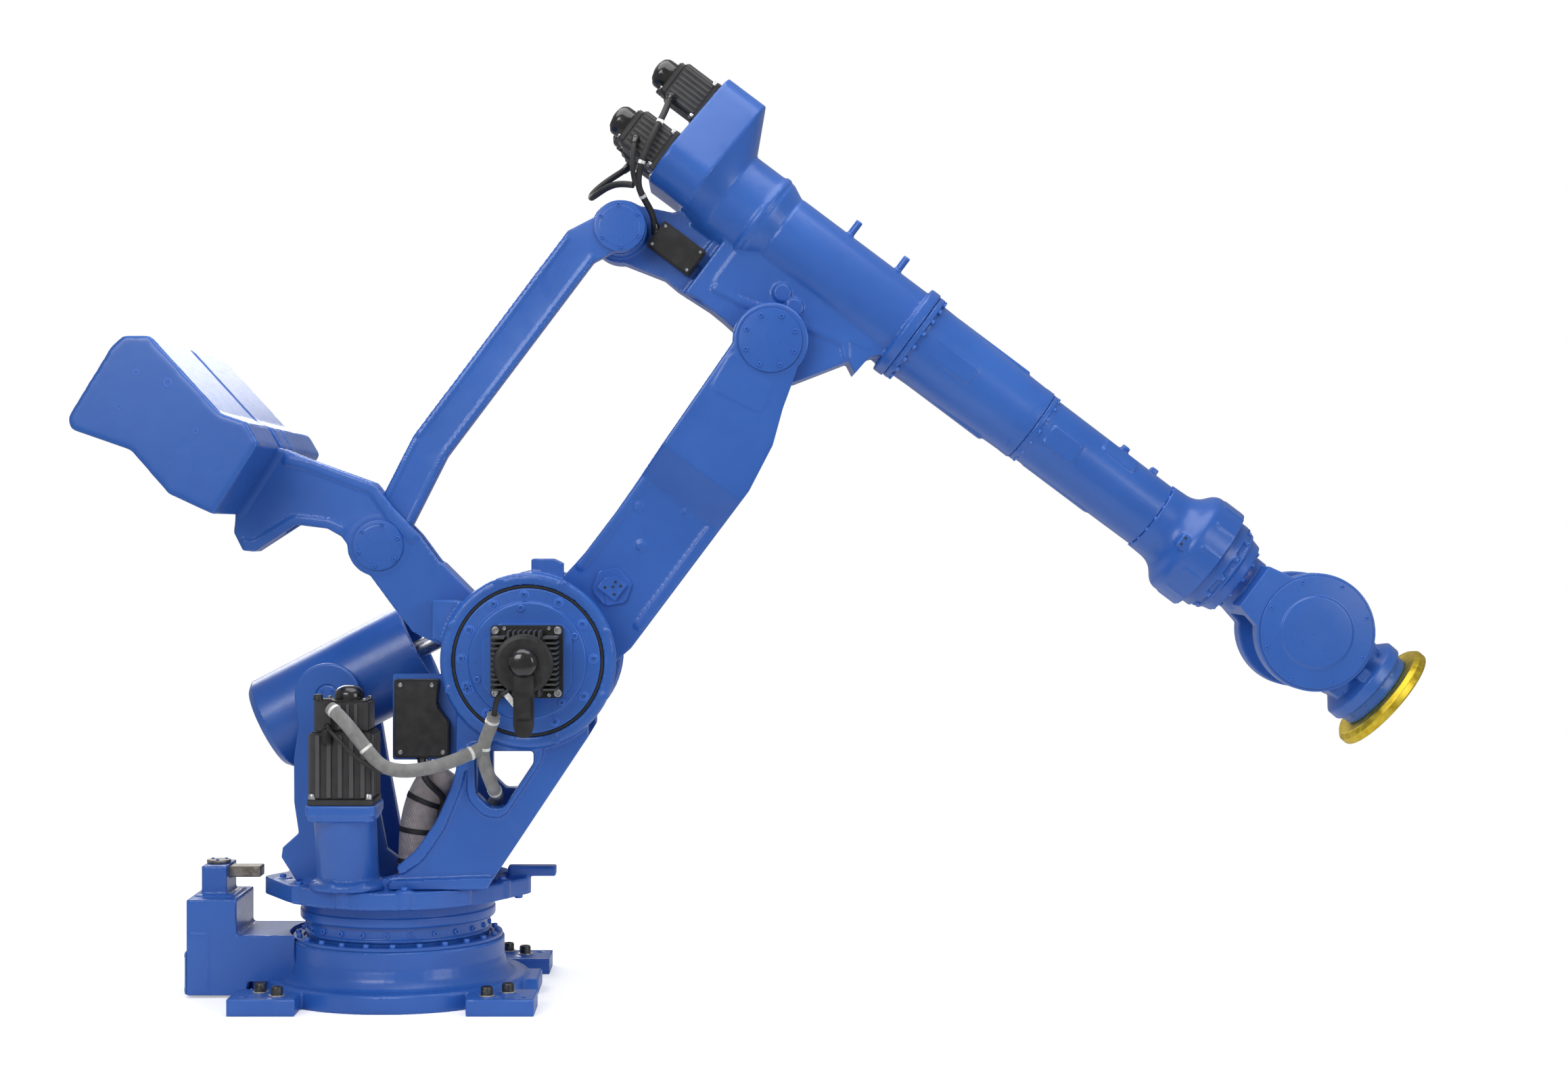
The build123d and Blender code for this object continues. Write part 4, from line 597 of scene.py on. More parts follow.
def shoulder_drive(side_name, sign):
    hub = mirrored(SHOULDER, sign)
    back, front = FRAME_OUTER - 4, HUB_FACE - 4
    bm = bmesh.new()
    ring(bm, hub, ((back, 225), (front, 225), (front, 217), (back, 217)), ease=1.5)
    piece(side_name + "_hub_seal", bm, "pedestal", SEAL)
    bm = bmesh.new()
    lathe(bm, hub, (
        (FRAME_OUTER - 50, 148), (FRAME_OUTER, 148), (FRAME_OUTER, 216), (HUB_FACE - 3, 216), (HUB_FACE, 213),
        (HUB_FACE, 178), (HUB_FACE + 8, 174), (HUB_FACE + 10, 171), (HUB_FACE + 10, 150),
    ), steps=96, ease=1.5)
    plate = (
        (-104, 84), (-84, 112), (104, 112), (132, 84), (132, -72), (96, -112), (-92, -112), (-132, -72),
        (-132, 60),
    )
    prism(bm, hub, plate, HUB_FACE + 8, HUB_FACE + 20, corner=12, edge=1.5)
    for screw in at_angles(hub, DRIVE_CIRCLE, DRIVE_SCREWS, HUB_FACE):
        ring(bm, screw, ((0, 15), (1.2, 14.5), (1.2, 11), (0, 11)), steps=24)
    painted_piece(side_name + "_drive_flange", bm, "pedestal", (side_name + "_drive",))
    heads = at_angles(hub, DRIVE_CIRCLE, DRIVE_SCREWS, HUB_FACE - 1)
    heads += at_angles(hub, 158, (28, 97, 200, 310), HUB_FACE + 10)
    painted_screws(side_name + "_drive_screws", heads, 10, 6, "pedestal")


def shoulder_motor(side_name, sign):
    motor = near(mirrored(SHOULDER, sign), 0, 0, HUB_FACE + 20)
    bm = bmesh.new()
    block(bm, motor, 214, 214, 0, 18, corner=12, edge=2)
    lathe(bm, motor, ((16, 84), (146, 84)), steps=48)
    # Side fins above each other, top fins beside each other
    for k in range(11):
        for x in (-76, 76):
            block(bm, near(motor, x, -75 + 15 * k), 40, 6, 16, 142, edge=1)
    for k in range(7):
        for y in (82, -82):
            block(bm, near(motor, -45 + 15 * k, y), 6, 26, 16, 142, edge=1)
    lathe(bm, motor, ((140, 88), (146, 86), (150, 74), (150, 60)), steps=48, ease=2)
    piece(side_name + "_motor_body", bm, "pedestal", BLACK, (side_name + "_motor",))
    bm = bmesh.new()
    lathe(bm, near(motor, 0, 4), ((146, 44), (172, 42), (184, 32), (189, 14)), steps=48, ease=6)
    piece(side_name + "_motor_cap", bm, "pedestal", GLOSS_BLACK)
    bm = bmesh.new()
    plate = ((-30, 30), (30, 30), (30, -120), (18, -152), (-18, -152), (-30, -120))
    prism(bm, near(motor, 2, -60), plate, 148, 168, corner=10, edge=2)
    block(bm, near(motor, 2, -122), 44, 70, 164, 184, corner=6, edge=3)
    lathe(bm, near(motor, 2, -196), ((150, 12), (164, 12)), steps=24)
    piece(side_name + "_plug_plate", bm, "pedestal", BLACK)
    screws(side_name + "_motor_bolts", on_grid(motor, (-92, 92), (-92, 92), 18), 12, 13, "pedestal")
    screws(side_name + "_motor_screws", on_grid(motor, (-66, 66), (-98, 98), 18), 6, 6, "pedestal")
    bm = bmesh.new()
    clip = near(motor, -34, -104) @ Matrix.Rotation(radians(40), 4, "Z")
    block(bm, clip, 16, 44, 150, 166, corner=4, edge=2)
    piece(side_name + "_lead_clip", bm, "pedestal", CLIP)


for side_name, sign in SIDES:
    shoulder_drive(side_name, sign)
    shoulder_motor(side_name, sign)

# Slew motor

bm = bmesh.new()
block(bm, SLEW_MOTOR, 194, 194, 618, 636, corner=12, edge=2)
block(bm, SLEW_MOTOR, 178, 178, 634, 834, corner=20, edge=4)
for k in range(5):
    x = -66 + 33 * k
    for y in (-90, 90):
        block(bm, near(SLEW_MOTOR, x, y), 12, 12, 640, 826, edge=2)
        block(bm, near(SLEW_MOTOR, y, x), 12, 12, 640, 826, edge=2)
block(bm, near(SLEW_MOTOR, 6), 148, 152, 832, 924, corner=14, edge=5)
for k in range(4):
    block(bm, near(SLEW_MOTOR, -28 + 24 * k, -78), 9, 8, 840, 916, edge=2)
piece("slew_motor_body", bm, "pedestal", BLACK, ("slew_motor",))
bm = bmesh.new()
lathe(bm, near(SLEW_MOTOR, 14), ((920, 46), (944, 44), (958, 34), (965, 16)), steps=48, ease=6)
piece("slew_motor_cap", bm, "pedestal", GLOSS_BLACK)
bm = bmesh.new()
plug = near(SLEW_MOTOR, -50, -88)
block(bm, plug, 50, 26, 836, 930, corner=6, edge=3)
lathe(bm, near(plug, 12, -6), ((800, 17), (842, 17)), steps=24, ease=2)
lathe(bm, near(plug, -14, -2), ((926, 16), (944, 12)), steps=24, ease=3)
piece("slew_motor_plug", bm, "pedestal", BLACK)
screws("slew_motor_bolts", on_grid(SLEW_MOTOR, (-82, 82), (-82, 82), 636), 12, 16, "pedestal")
screws("slew_motor_cap_screws", on_grid(SLEW_MOTOR, (-54, 66), (-60, 60), 924), 6, 6, "pedestal")

# Junction box on its plate

BOX = ((24, 745), (24, 978), (158, 978), (150, 900), (188, 850), (188, 745))
BOX_SCREWS = ((44, 962), (138, 962), (44, 762), (170, 762))
bm = bmesh.new()
prism(bm, SIDE_VIEW, ((14, 735), (14, 992), (215, 992), (225, 960), (215, 735)), 240, 245, corner=8, edge=1)
painted_piece("box_plate", bm, "pedestal", ("junction_plate",))
bm = bmesh.new()
prism(bm, SIDE_VIEW, BOX, 245, 292, corner=7, edge=3)
prism(bm, SIDE_VIEW, grown(BOX, (104, 866), 0.965), 290, 300, corner=7, edge=2)
piece("cable_junction_box", bm, "pedestal", BLACK, ("junction_box",))
screws("junction_box_screws", [near(SIDE_VIEW, x, z, 299) for x, z in BOX_SCREWS], 7, 6, "pedestal")

# Lower arm


def arm_details(bm):
    """Raised edges of the lower arm, rings and cheeks round its elbow, and three round pads."""
    for sign, face in ((-1, 100), (1, 160)):
        side_frame = mirrored(ARM, sign)
        rail = ((300, 66), (640, 64), (760, 68), (960, 76), (960, 56), (760, 44), (640, 38), (300, 40))
        prism(bm, side_frame, rail, face - 12, face + 5, corner=12)
        low_rail = ((260, -213), (800, -212), (940, -190), (934, -164), (800, -186), (260, -188))
        prism(bm, side_frame, low_rail, face - 12, face + 5, corner=12)
    for sign in (-1, 1):
        side_frame = mirrored(ARM, sign)
        ring(bm, near(side_frame, ARM_LENGTH), ((150, 117), (161, 115), (161, 98), (150, 98)), ease=3)
        cheek = ((980, 60), (1110, 74), (1110, -84), (1010, -110))
        prism(bm, side_frame, cheek, 152, 162, corner=24)
    for along, rise in ((470, -60), (560, 20), (640, -110)):
        lathe(bm, near(ARM, along, rise), ((90, 16), (104, 14)), steps=24, ease=2)


cast("lower_arm", "lower_arm", arm_details)

BRACKET = near(ARM, 317, -64)
BRACKET_SCREWS = ((18, -20), (18, 0), (-14, -20), (-14, 16), (2, -2))
bm = bmesh.new()
hexagon = [(62 * cos(k * pi / 3 + 0.3), 62 * sin(k * pi / 3 + 0.3)) for k in range(6)]
prism(bm, BRACKET, hexagon, 96, 112, 8, 2)
prism(bm, BRACKET, ((-30, -34), (34, -34), (34, 6), (10, 34), (-30, 34)), 110, 126, 5, 2)
painted_piece("hose_bracket", bm, "lower_arm", ("arm_bracket",))
seats = [near(BRACKET, x, y, 125) for x, y in BRACKET_SCREWS]
screws("hose_bracket_screws", seats, 4, 3, "lower_arm", DARK_STEEL)

for side_name, sign in SIDES:
    cap = near(mirrored(ARM, sign), ARM_LENGTH, 0, 160)
    bm = bmesh.new()
    lathe(bm, cap, ((0, 97), (8, 97), (8, 0.5)), steps=72, ease=2)
    painted_piece(side_name + "_elbow_cover", bm, "lower_arm", (side_name + "_elbow_cap",))
    painted_screws(side_name + "_elbow_screws", on_circle(cap, 80, 8, 12, 7.5), 7, 6, "lower_arm")

# Lever, counterweight and link

LEVER_FLANGE = near(LEVER, -365, 192) @ Matrix.Rotation(radians(57.5), 4, "Z")
UPWARD = Matrix(((1, 0, 0, 0), (0, 0, -1, 0), (0, 1, 0, 0), (0, 0, 0, 1)))
WEIGHT_PLUGS = (
    (-650, 500, 9), (-560, 470, 12), (-700, 400, 8), (-480, 330, 8), (-560, 236, 6), (-420, 236, 6),
)


def lever_details(bm):
    """Bolting flange, rails and boss of the lever."""
    block(bm, LEVER_FLANGE, 232, 34, 208, 238, corner=6)
    rail = (
        (-280, 270), (-200, 254), (-10, 184), (48, 102), (118, 28), (100, 6), (30, 78), (-22, 156),
        (-210, 228), (-286, 244),
    )
    prism(bm, LEVER, rail, 230, 240, corner=12)
    low_rail = (
        (-400, -8), (-374, -16), (-249, 64), (-153, 52), (-111, 30), (-96, 52), (-146, 76), (-252, 88),
        (-378, 12), (-412, 20),
    )
    prism(bm, LEVER, low_rail, 230, 239, corner=12)
    lathe(bm, LEVER, ((228, 96), (236, 92)), steps=64, ease=3)


cast("lever", "lever", lever_details)
seats = [near(LEVER_FLANGE, x, 16, 223) @ UPWARD for x in (-92, -46, 0, 46, 92)]
painted_screws("lever_flange_bolts", seats, 13, 16, "lever")

for side_name, sign in SIDES:
    cast(side_name + "_weight", "lever", voxel=7, passes=14, keep=0.35)
    weight = mirrored(LEVER, sign)
    bm = bmesh.new()
    for x, y, radius in WEIGHT_PLUGS:
        dished = ((-4, radius), (1.2, radius), (1.2, radius * 0.7), (-3, radius * 0.6))
        lathe(bm, near(weight, x, y, 560), dished, steps=24)
    painted_piece(side_name + "_weight_plugs", bm, "lever")

PIN_PROFILE = ((-126, 37.9), (-0.1, 37.9), (0, 75), (8, 75), (8, 60), (9, 58))
CAP_PROFILE = ((136, 37.8), (198.4, 37.8), (198.4, 77), (206, 77), (206, 62), (207, 60))
bm = bmesh.new()
lathe(bm, near(LEVER, 0, 0, 235.3), PIN_PROFILE, steps=64, ease=1.5)
painted_piece("lower_link_pin", bm, "link_pin", ("link_pin",))
painted_screws("lower_link_screws", on_circle(LEVER, 64, 6, 20, 243), 6, 6, "link_pin")


def link_details(bm):
    """Raised edges along both lengths of the link bar."""
    line = [Vector((0, 0)), Vector((151, 299)), Vector((605, 902))]
    for start, end in zip(line, line[1:]):
        across = Vector((-(end - start).y, (end - start).x)).normalized()
        width = across * 6
        for side_shift in (-46, 46):
            low, high = start + across * side_shift, end + across * side_shift
            prism(bm, LEVER, (low - width, high - width, high + width, low + width), 142, 201, edge=3)


cast("link_bar", "link", link_details)

LINK_TOP = near(FOREARM, CRANK)
bm = bmesh.new()
lathe(bm, LINK_TOP, CAP_PROFILE, steps=64, ease=1.5)
painted_piece("upper_link_cover", bm, "forearm", ("link_cap",))
painted_screws("upper_link_screws", on_circle(LINK_TOP, 64, 6, 10, 205.5), 6, 6, "forearm")

# Balancer

cast("balancer_barrel", "balancer", voxel=3.4, passes=2, keep=0.2)
painted_screws("trunnion_screws", on_circle(joint_place("balancer_tilt"), 22, 4, 45, 104), 5, 5, "balancer")

# Forearm


def forearm_details(bm):
    """Ribs, gussets, bosses and flange rings of the forearm casting."""
    for sign in (-1, 1):
        face = mirrored(FOREARM, sign)
        rib = ((-150, 34), (180, 124), (214, 92), (226, 104), (190, 148), (-150, 56), (-240, 40), (-240, 20))
        prism(bm, face, rib, 90, 103, corner=9)
        belly = ((-250, 40), (-250, 240), (260, 240), (260, 160), (200, 150), (-140, 66))
        prism(bm, face, belly, 90, 101, corner=20)
        gusset = ((-330, 150), (-200, 196), (-118, 210), (-236, 40), (-330, 60))
        prism(bm, face, gusset, 52, 70, corner=10)
    for along, rise in ((-60, 142), (-3, 128)):
        lathe(bm, near(FOREARM, along, rise), ((90, 30), (112, 28)), steps=32, ease=4)
    ring(bm, TUBE, ((300, 140), (302, 153), (337, 153), (337, 140)), ease=4)
    ring(bm, TUBE, ((-240, 150), (-244, 160), (-262, 160), (-268, 150)), ease=4)


cast("forearm_casting", "forearm", forearm_details, voxel=4)

MOTORS = (("near", 122, -20, -1), ("far", -122, -20, 1), ("upper", 0, 188, -1))
MOTOR_FACE = -591
REARWARD = Matrix(((0, 0, -1, 0), (0, 1, 0, 0), (1, 0, 0, 0), (0, 0, 0, 1)))
for name, across, rise, turn in MOTORS:
    back = near(FOREARM, MOTOR_FACE, AXIS_RISE + rise, across) @ REARWARD
    bm = bmesh.new()
    block(bm, back, 142, 142, 0, 16, corner=10, edge=2)
    block(bm, back, 128, 128, 14, 128, corner=18, edge=3)
    for k in range(7):
        x = -48 + 16 * k
        for y in (-63, 63):
            block(bm, near(back, x, y), 7, 6, 20, 122, edge=1)
            block(bm, near(back, y, x), 6, 7, 20, 122, edge=1)
    block(bm, back, 116, 116, 126, 146, corner=20, edge=4)
    piece(name + "_axis_motor", bm, "forearm", BLACK, (name + "_wrist_motor",))
    bm = bmesh.new()
    lathe(bm, back, ((144, 49), (182, 48), (196, 38), (203, 20)), steps=48, ease=6)
    piece(name + "_axis_motor_cap", bm, "forearm", GLOSS_BLACK)
    bm = bmesh.new()
    plug = near(back, 34 * turn, -6)
    block(bm, plug, 44, 60, 120, 172, corner=6, edge=3)
    lathe(bm, near(plug, 0, -24, 150) @ UPWARD, ((0, 15), (26, 14)), steps=24, ease=2)
    piece(name + "_axis_motor_plug", bm, "forearm", BLACK)
    screws(name + "_axis_motor_bolts", on_grid(back, (-60, 60), (-60, 60), 16), 9, 11, "forearm")
    screws(name + "_axis_cap_screws", on_grid(back, (-44, 44), (-44, 44), 145), 6, 6, "forearm")

bm = bmesh.new()
panel = near(FOREARM, -400, 56, 60)
block(bm, panel, 160, 94, 0, 48, corner=6, edge=3)
block(bm, panel, 152, 86, 46, 57, corner=6, edge=2)
piece("cable_box_cover", bm, "forearm", BLACK, ("forearm_box",))
screws("cable_box_screws", on_grid(panel, (-66, 66), (-34, 34), 56), 5, 4, "forearm")

# Tubes


def tube_details(radius, flats, lugs=()):
    def details(bm):
        """Flats and lugs along a forearm tube."""
        for angle, low, high, width in flats:
            strip = TUBE @ Matrix.Rotation(radians(angle), 4, "Z") @ UPWARD
            middle = near(strip, 0, (low + high) / 2)
            block(bm, middle, width, high - low, radius - 26, radius + 3, corner=10, edge=2)
        for angle, along in lugs:
            strip = TUBE @ Matrix.Rotation(radians(angle), 4, "Z") @ UPWARD
            block(bm, near(strip, 0, along), 34, 26, radius - 20, radius + 16, corner=5, edge=2)
    return details


cast("first_tube", "forearm", tube_details(126, (
    (180, 400, 560, 60), (0, 400, 560, 60), (90, 420, 700, 46), (-90, 420, 700, 46),
)), voxel=3.5)
cast("second_tube", "forearm", tube_details(110, (
    (180, 850, 960, 70), (0, 850, 960, 70), (130, 1010, 1130, 60), (50, 1010, 1130, 60), (-90, 850, 1100, 40),
), ((100, 1075), (82, 1190))), voxel=3.5)
painted_screws("rear_flange_screws", on_circle(TUBE, 140, 18, 5, 357), 7, 9, "forearm")
painted_screws("middle_flange_screws", on_circle(TUBE, 113, 16, 5, 818), 6, 8, "forearm")
painted_screws("bulb_flange_screws", on_circle(TUBE, 108, 16, 5, 1262), 6, 8, "forearm")

BULB_PAD = near(FOREARM, 1385, AXIS_RISE - 20)
PAD_FACE = 164


def bulb_details(bm):
    """Bolt bosses round the wrist bulb and the pad on its near side."""
    for boss in on_circle(TUBE, 158, 12):
        lathe(bm, boss, ((1420, 17), (1488, 17)), steps=20, ease=3)
    block(bm, BULB_PAD, 62, 46, 120, PAD_FACE, corner=8, edge=3)


cast("wrist_bulb", "forearm", bulb_details, voxel=3.2)
screws("bulb_pad_screws", on_grid(BULB_PAD, (-18, 18), (-11, 11), PAD_FACE), 4, 2, "forearm", DARK_STEEL)

# Wrist

ROLL_CIRCLE = 136
BEND_CIRCLE = 118


def roll_details(bm):
    """Bolt bosses, front ring, drum rims and side pads of the roll housing."""
    for boss in on_circle(TUBE, ROLL_CIRCLE, 12, 15):
        lathe(bm, boss, ((1500, 14), (1534, 14)), steps=20, ease=2)
    ring(bm, TUBE, ((1540, 120), (1542, 140), (1552, 140), (1556, 120)), ease=3)
    for sign in (-1, 1):
        drum = mirrored(DRUM, sign)
        ring(bm, drum, ((150, 181), (160, 178), (168, 168), (166, 150), (150, 150)), ease=6)
        block(bm, near(mirrored(FOREARM, sign), 1650, AXIS_RISE), 60, 50, 84, 128, corner=8, edge=3)


cast("roll_housing", "wrist_roll", roll_details, voxel=3.2)
painted_screws("roll_ring_screws", on_circle(TUBE, ROLL_CIRCLE, 12, 15, 1534), 8, 8, "wrist_roll")
painted_screws("roll_front_screws", on_circle(TUBE, 108, 12, 0, 1588), 7, 8, "wrist_roll")
for side_name, sign in SIDES:
    drum = mirrored(DRUM, sign)
    bm = bmesh.new()
    cover_profile = ((166, 160), (171, 172), (174, 170), (174, 112), (180, 106), (180, 40))
    lathe(bm, drum, cover_profile, steps=96, ease=2.5)
    painted_piece(side_name + "_drum_cover", bm, "wrist_roll", (side_name + "_wrist_cover",))
    painted_screws(side_name + "_drum_screws", on_circle(drum, 158, 8, 8, 172), 6, 5, "wrist_roll")


def bend_details(bm):
    """Bolt bosses and the near pad of the bend housing."""
    for boss in on_circle(TOOL, BEND_CIRCLE, 12):
        lathe(bm, boss, ((236, 12), (272, 12)), steps=20, ease=2)
    block(bm, near(WRIST, 210), 44, 40, 96, 128, corner=6, edge=3)


cast("bend_housing", "wrist_bend", bend_details, voxel=3.2)
painted_screws("bend_ring_screws", on_circle(TOOL, BEND_CIRCLE, 12, 0, 272), 7, 7, "wrist_bend")

FLANGE_REACH = 335
FLANGE = near(TOOL, 0, 0, FLANGE_REACH)
FLANGE_PROFILE = ((-25, 80), (0, 80), (0, 176), (-4, 180), (-24, 180), (-38, 167), (-38, 80))
bm = bmesh.new()
ring(bm, FLANGE, FLANGE_PROFILE, steps=144, ease=2)
lathe(bm, FLANGE, ((-37, 82), (-25, 82)), steps=64)
piece("tool_plate", bm, "tool", YELLOW, ("tool_flange",))
bm = bmesh.new()
for hole in on_circle(FLANGE, 125, 12):
    lathe(bm, hole, ((-1, 8.5), (0.4, 8.5)), steps=20)
piece("tool_plate_holes", bm, "tool", SEAL)

# Cables and harness on the routes of their solids


def on_forearm(route):
    """Points given along the forearm, above it and across the machine, in the machine's frame."""
    return [tuple(FOREARM @ Vector((along, rise, -y))) for along, rise, y in route]
MOTOR_SLEEVE_ROUTE = (
    (-140, -452, 905), (-112, -474, 885), (-73, -478, 840), (-21, -478, 772), (12, -474, 736),
    (65, -458, 720), (131, -435, 724), (204, -400, 742), (258, -372, 764), (290, -353, 779),
)
DROP_SLEEVE_ROUTE = (
    (331, -398, 880), (322, -378, 848), (302, -358, 805), (292, -349, 765), (302, -340, 715),
    (318, -322, 668), (326, -280, 640), (327, -225, 625), (310, -185, 595), (275, -165, 540),
    (250, -160, 480), (240, -158, 415), (238, -157, 352),
)
NEAR_MOTOR_LEAD_ROUTE = (
    (331, -398, 880), (335, -407, 900), (340, -420, 922), (352, -432, 945), (375, -434, 962),
)
SLEW_MOTOR_LEAD_ROUTE = (
    (-150, -446, 850), (-138, -470, 838), (-112, -487, 815), (-78, -490, 780), (-42, -490, 750),
    (-8, -484, 728), (14, -474, 718),
)
BOX_LEAD_ROUTE = (
    (104, -273, 745), (105, -272, 710), (116, -258, 672), (142, -236, 645), (165, -220, 618),
    (160, -205, 585), (140, -195, 560), (120, -190, 535),
)
INNER_HARNESS_ROUTE = (
    (80, -174, 352), (80, -174, 440), (84, -174, 520), (98, -174, 590), (124, -172, 645), (160, -168, 700),
)
UPPER_CABLE_ROUTE = on_forearm((
    (-693, 420, -70), (-692, 408, -92), (-680, 384, -136), (-667, 348, -184), (-655, 290, -213),
    (-645, 242, -217), (-634, 200, -216), (-618, 160, -208), (-596, 128, -190), (-562, 112, -164),
    (-525, 98, -128), (-500, 78, -98), (-480, 60, -90),
))
NEAR_CABLE_ROUTE = on_forearm((
    (-690, 240, -190), (-684, 225, -207), (-668, 200, -217), (-650, 172, -220), (-630, 148, -214),
    (-606, 128, -196),
))
FAR_CABLE_ROUTE = on_forearm((
    (-690, 196, 115), (-694, 170, 105), (-706, 130, 80), (-716, 80, 40), (-716, 40, -10), (-706, 24, -60),
    (-694, 40, -105), (-676, 78, -140), (-648, 108, -168), (-612, 124, -190),
))

def spline_curve(name, route, diameter):
    """A round tube on one smooth curve with the route's points as its control points."""
    curve = bpy.data.curves.new(name, "CURVE")
    curve.dimensions = "3D"
    curve.resolution_u = 12
    curve.bevel_depth = diameter / 2 * MM
    curve.bevel_resolution = 5
    curve.use_fill_caps = True
    spline = curve.splines.new("NURBS")
    spline.points.add(len(route) - 1)
    for point, place_mm in zip(spline.points, route):
        point.co = (*(value * MM for value in place_mm), 1)
    spline.order_u = 3
    spline.use_endpoint_u = True
    obj = bpy.data.objects.new(name, curve)
    bpy.context.collection.objects.link(obj)
    return obj


def centre_line(route):
    """Points read from the route's own smooth curve."""
    guide = spline_curve("guide", route, 0.0)
    guide.data.use_fill_caps = False
    mesh = bpy.data.meshes.new_from_object(guide)
    points = [vertex.co.copy() for vertex in mesh.vertices]
    bpy.data.objects.remove(guide)
    return points


def run_length(points):
    return sum((b - a).length for a, b in zip(points, points[1:]))


def along_line(points, share):
    """Frame at a share of a line's length, its z pointing along the line."""
    left = run_length(points) * share
    for a, b in zip(points, points[1:]):
        step = (b - a).length
        if left <= step:
            break
        left -= step
    turn = (b - a).to_track_quat("Z", "Y").to_matrix().to_4x4()
    return Matrix.Translation((a + (b - a).normalized() * left) / MM) @ turn


def bands(name, route, shares, radius, width, body, material):
    """Ties or straps round a cable, each at a share of its length."""
    points = centre_line(route)
    inner, outer, half = radius - 1, radius + 1.2, width / 2
    bm = bmesh.new()
    for share in shares:
        tie = along_line(points, share)
        ring(bm, tie, ((-half, inner), (-half, outer), (half, outer), (half, inner)), steps=32, ease=0.6)
        block(bm, near(tie, radius), 6, 7, -width * 0.6, width * 0.6, corner=1, edge=0.6)
    piece(name, bm, body, material)


def strain_reliefs(name, route, diameter, body, ends):
    """Tapered boots where a cable leaves a housing."""
    points = centre_line(route)
    radius = diameter / 2
    boot = ((-4, radius * 1.6), (4, radius * 1.6), (6, radius * 1.4), (diameter * 1.6, radius * 1.08))
    bm = bmesh.new()
    for end in ends:
        line = points if end == "start" else points[::-1]
        lathe(bm, along_line(line, 0.0), boot, steps=32, ease=0.8)
    piece(name, bm, body, GLOSS_BLACK)


def cable(name, node, route, diameter, body, material):
    obj = spline_curve(name, route, diameter)
    obj.data.materials.append(material)
    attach(obj, body)
    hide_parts(node)
    run_length(centre_line(route))


SLEEVES = (
    ("slew_motor_sleeve", "motor_sleeve", MOTOR_SLEEVE_ROUTE),
    ("window_sleeve", "drop_sleeve", DROP_SLEEVE_ROUTE),
)
LEADS = (
    ("shoulder_motor_lead", "near_motor_lead", NEAR_MOTOR_LEAD_ROUTE, 16, "pedestal",
     "shoulder_lead_boot", ("end",)),
    ("slew_brake_lead", "slew_motor_lead", SLEW_MOTOR_LEAD_ROUTE, 12, "pedestal",
     "slew_lead_boot", ("start",)),
    ("junction_lead", "box_lead", BOX_LEAD_ROUTE, 20, "pedestal",
     "junction_lead_boot", ("start",)),
    ("upper_motor_lead", "upper_motor_cable", UPPER_CABLE_ROUTE, 20, "forearm",
     "upper_lead_boots", ("start", "end")),
    ("near_wrist_lead", "near_motor_cable", NEAR_CABLE_ROUTE, 16, "forearm",
     "near_lead_boot", ("start",)),
    ("far_wrist_lead", "far_motor_cable", FAR_CABLE_ROUTE, 20, "forearm",
     "far_lead_boot", ("start",)),
)
for name, node, route in SLEEVES:
    cable(name, node, route, 40, "pedestal", SLEEVE)
for name, node, route, diameter, body, _, _ in LEADS:
    cable(name, node, route, diameter, body, RUBBER)
for _, _, route, diameter, body, boots, ends in LEADS:
    strain_reliefs(boots, route, diameter, body, ends)
bands("sleeve_ties", MOTOR_SLEEVE_ROUTE, (0.03, 0.3, 0.93), 20, 9, "pedestal", CLIP)
bands("window_sleeve_ties", DROP_SLEEVE_ROUTE, (0.03, 0.18, 0.42), 20, 9, "pedestal", CLIP)
bands("forearm_cable_clips", UPPER_CABLE_ROUTE, (0.3, 0.55, 0.75), 10, 10, "forearm", CLIP)

# The wrapped bundle behind the legs

bundle = spline_curve("wrapped_bundle", INNER_HARNESS_ROUTE, 118)
bundle.data.materials.append(WRAP)
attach(bundle, "pedestal")
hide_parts("inner_harness")
bands("bundle_straps", INNER_HARNESS_ROUTE, (0.2, 0.45, 0.7), 59, 16, "pedestal", RUBBER)

# CAD nodes that stay as they are

for node, material in (("elbow_pin", STEEL), ("rod_pin", STEEL), ("balancer_rod", STEEL)):
    mesh = frame["nodes"][node].data
    mesh.materials.clear()
    mesh.materials.append(material)

# Floor, backdrop colour and lights

FLOOR_RADIUS = 9.0
FADE_START = FLOOR_RADIUS * 0.2
FADE_END = FLOOR_RADIUS * 0.42
FLOOR_GREY = 0.93
FLOOR_GLOW = 0.42
WORLD_STRENGTH = 0.34
bm = bmesh.new()
bmesh.ops.create_circle(bm, cap_ends=True, segments=96, radius=FLOOR_RADIUS)
floor_mesh = bpy.data.meshes.new("floor")
bm.to_mesh(floor_mesh)
bm.free()
floor = bpy.data.objects.new("floor", floor_mesh)
floor.location = (1.0, 0.0, 0.0)
bpy.context.collection.objects.link(floor)
material, nodes, links, shader = new_material("pale_floor")
shader.inputs["Base Color"].default_value = (FLOOR_GREY, FLOOR_GREY, FLOOR_GREY, 1)
shader.inputs["Roughness"].default_value = 0.9
shader.inputs["Specular IOR Level"].default_value = 0.1
path = nodes.new("ShaderNodeLightPath")
glow = nodes.new("ShaderNodeMath")
glow.operation = "MULTIPLY"
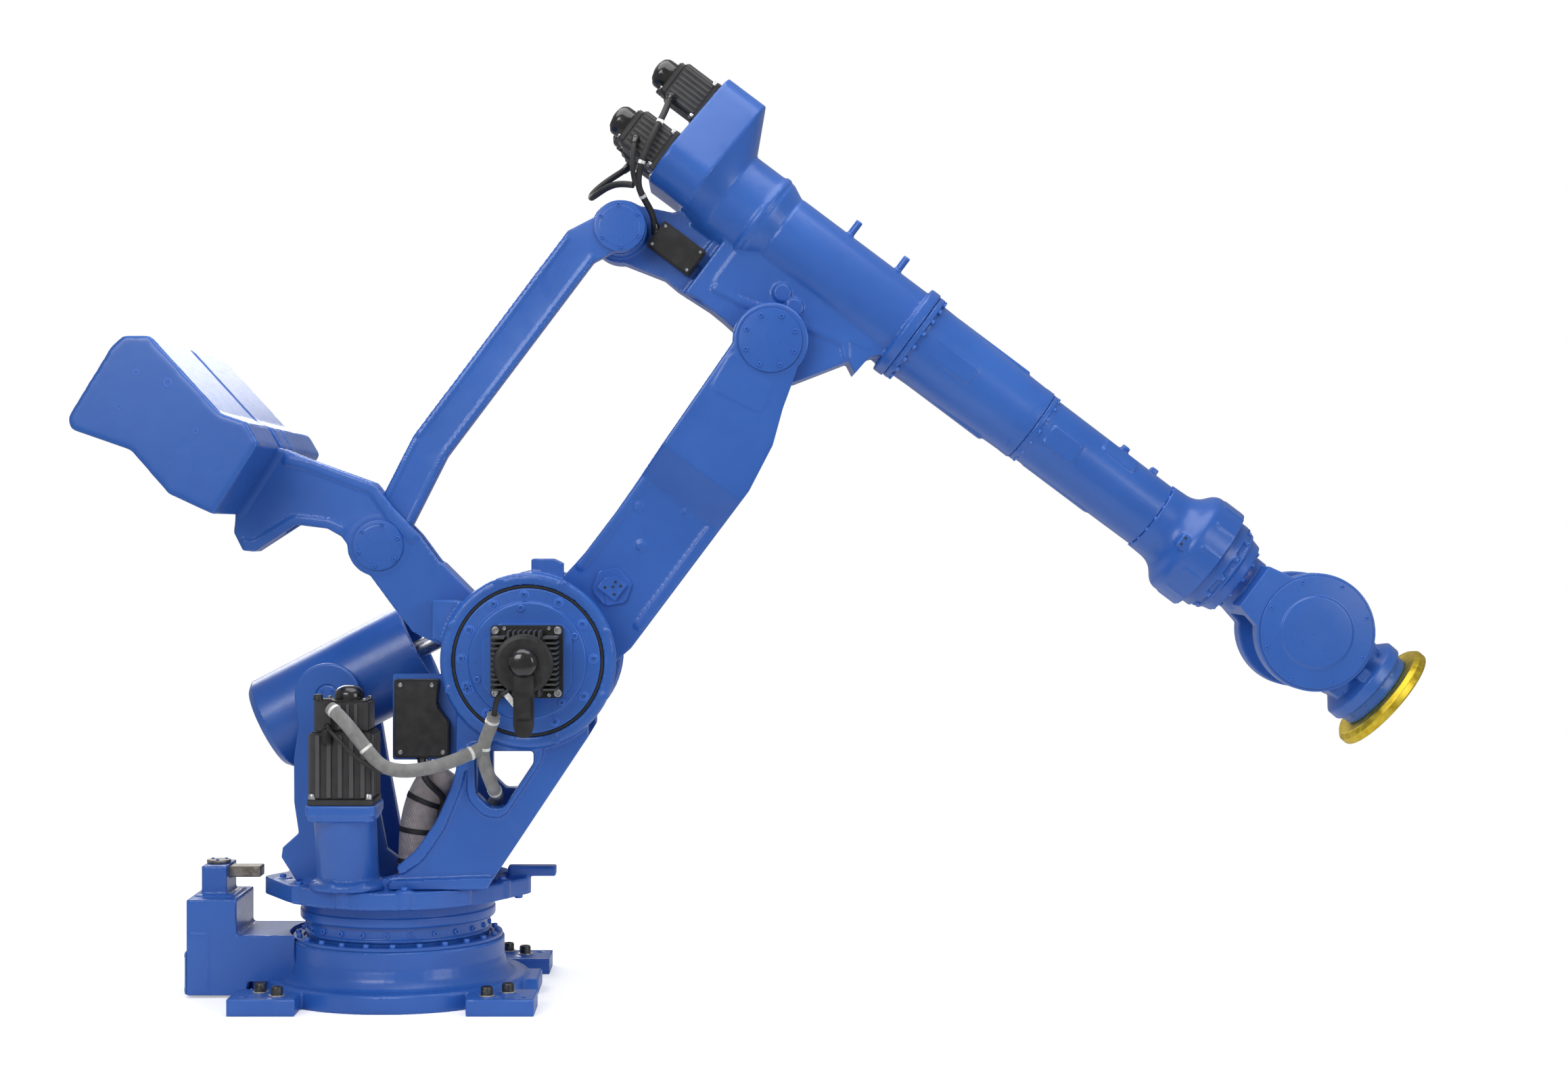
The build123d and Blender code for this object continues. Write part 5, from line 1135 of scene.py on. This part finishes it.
glow.inputs[1].default_value = FLOOR_GLOW
links.new(path.outputs["Is Camera Ray"], glow.inputs[0])
links.new(glow.outputs["Value"], shader.inputs["Emission Strength"])
shader.inputs["Emission Color"].default_value = (1, 1, 1, 1)
radial = nodes.new("ShaderNodeVectorMath")
radial.operation = "LENGTH"
links.new(object_points(nodes), radial.inputs[0])
fade = span(nodes, links, radial.outputs["Value"], FADE_START, FADE_END, 1.0, 0.0)
links.new(fade, shader.inputs["Alpha"])
floor_mesh.materials.append(material)

world = bpy.data.worlds.new("studio")
bpy.context.scene.world = world
world.use_nodes = True
nodes, links = world.node_tree.nodes, world.node_tree.links
path = nodes.new("ShaderNodeLightPath")
seen = nodes.new("ShaderNodeMath")
seen.operation = "MAXIMUM"
links.new(path.outputs["Is Camera Ray"], seen.inputs[0])
links.new(path.outputs["Is Transmission Ray"], seen.inputs[1])
strength = nodes.new("ShaderNodeMix")
strength.inputs["A"].default_value = WORLD_STRENGTH
strength.inputs["B"].default_value = 1.0
links.new(seen.outputs["Value"], strength.inputs["Factor"])
background = nodes["Background"]
background.inputs["Color"].default_value = (1, 1, 1, 1)
links.new(strength.outputs["Result"], background.inputs["Strength"])


def area_light(name, location, target, size, power):
    data = bpy.data.lights.new(name, "AREA")
    data.shape = "RECTANGLE"
    data.size, data.size_y = size
    data.energy = power
    light = bpy.data.objects.new(name, data)
    light.location = location
    light.rotation_euler = (Vector(target) - Vector(location)).to_track_quat("-Z", "Y").to_euler()
    bpy.context.collection.objects.link(light)


area_light("top_light", (0.6, -0.6, 5.6), (0.9, 0.0, 1.0), (5.5, 4.0), 170)
area_light("front_light", (-2.4, -6.0, 4.2), (0.9, 0.0, 1.2), (3.5, 2.5), 160)
area_light("side_light", (5.4, -4.2, 2.6), (1.2, 0.0, 1.1), (2.5, 2.5), 70)
area_light("rear_light", (-2.0, 5.0, 3.6), (0.8, 0.0, 1.2), (3.5, 2.5), 110)

bpy.context.scene.view_settings.view_transform = "Standard"
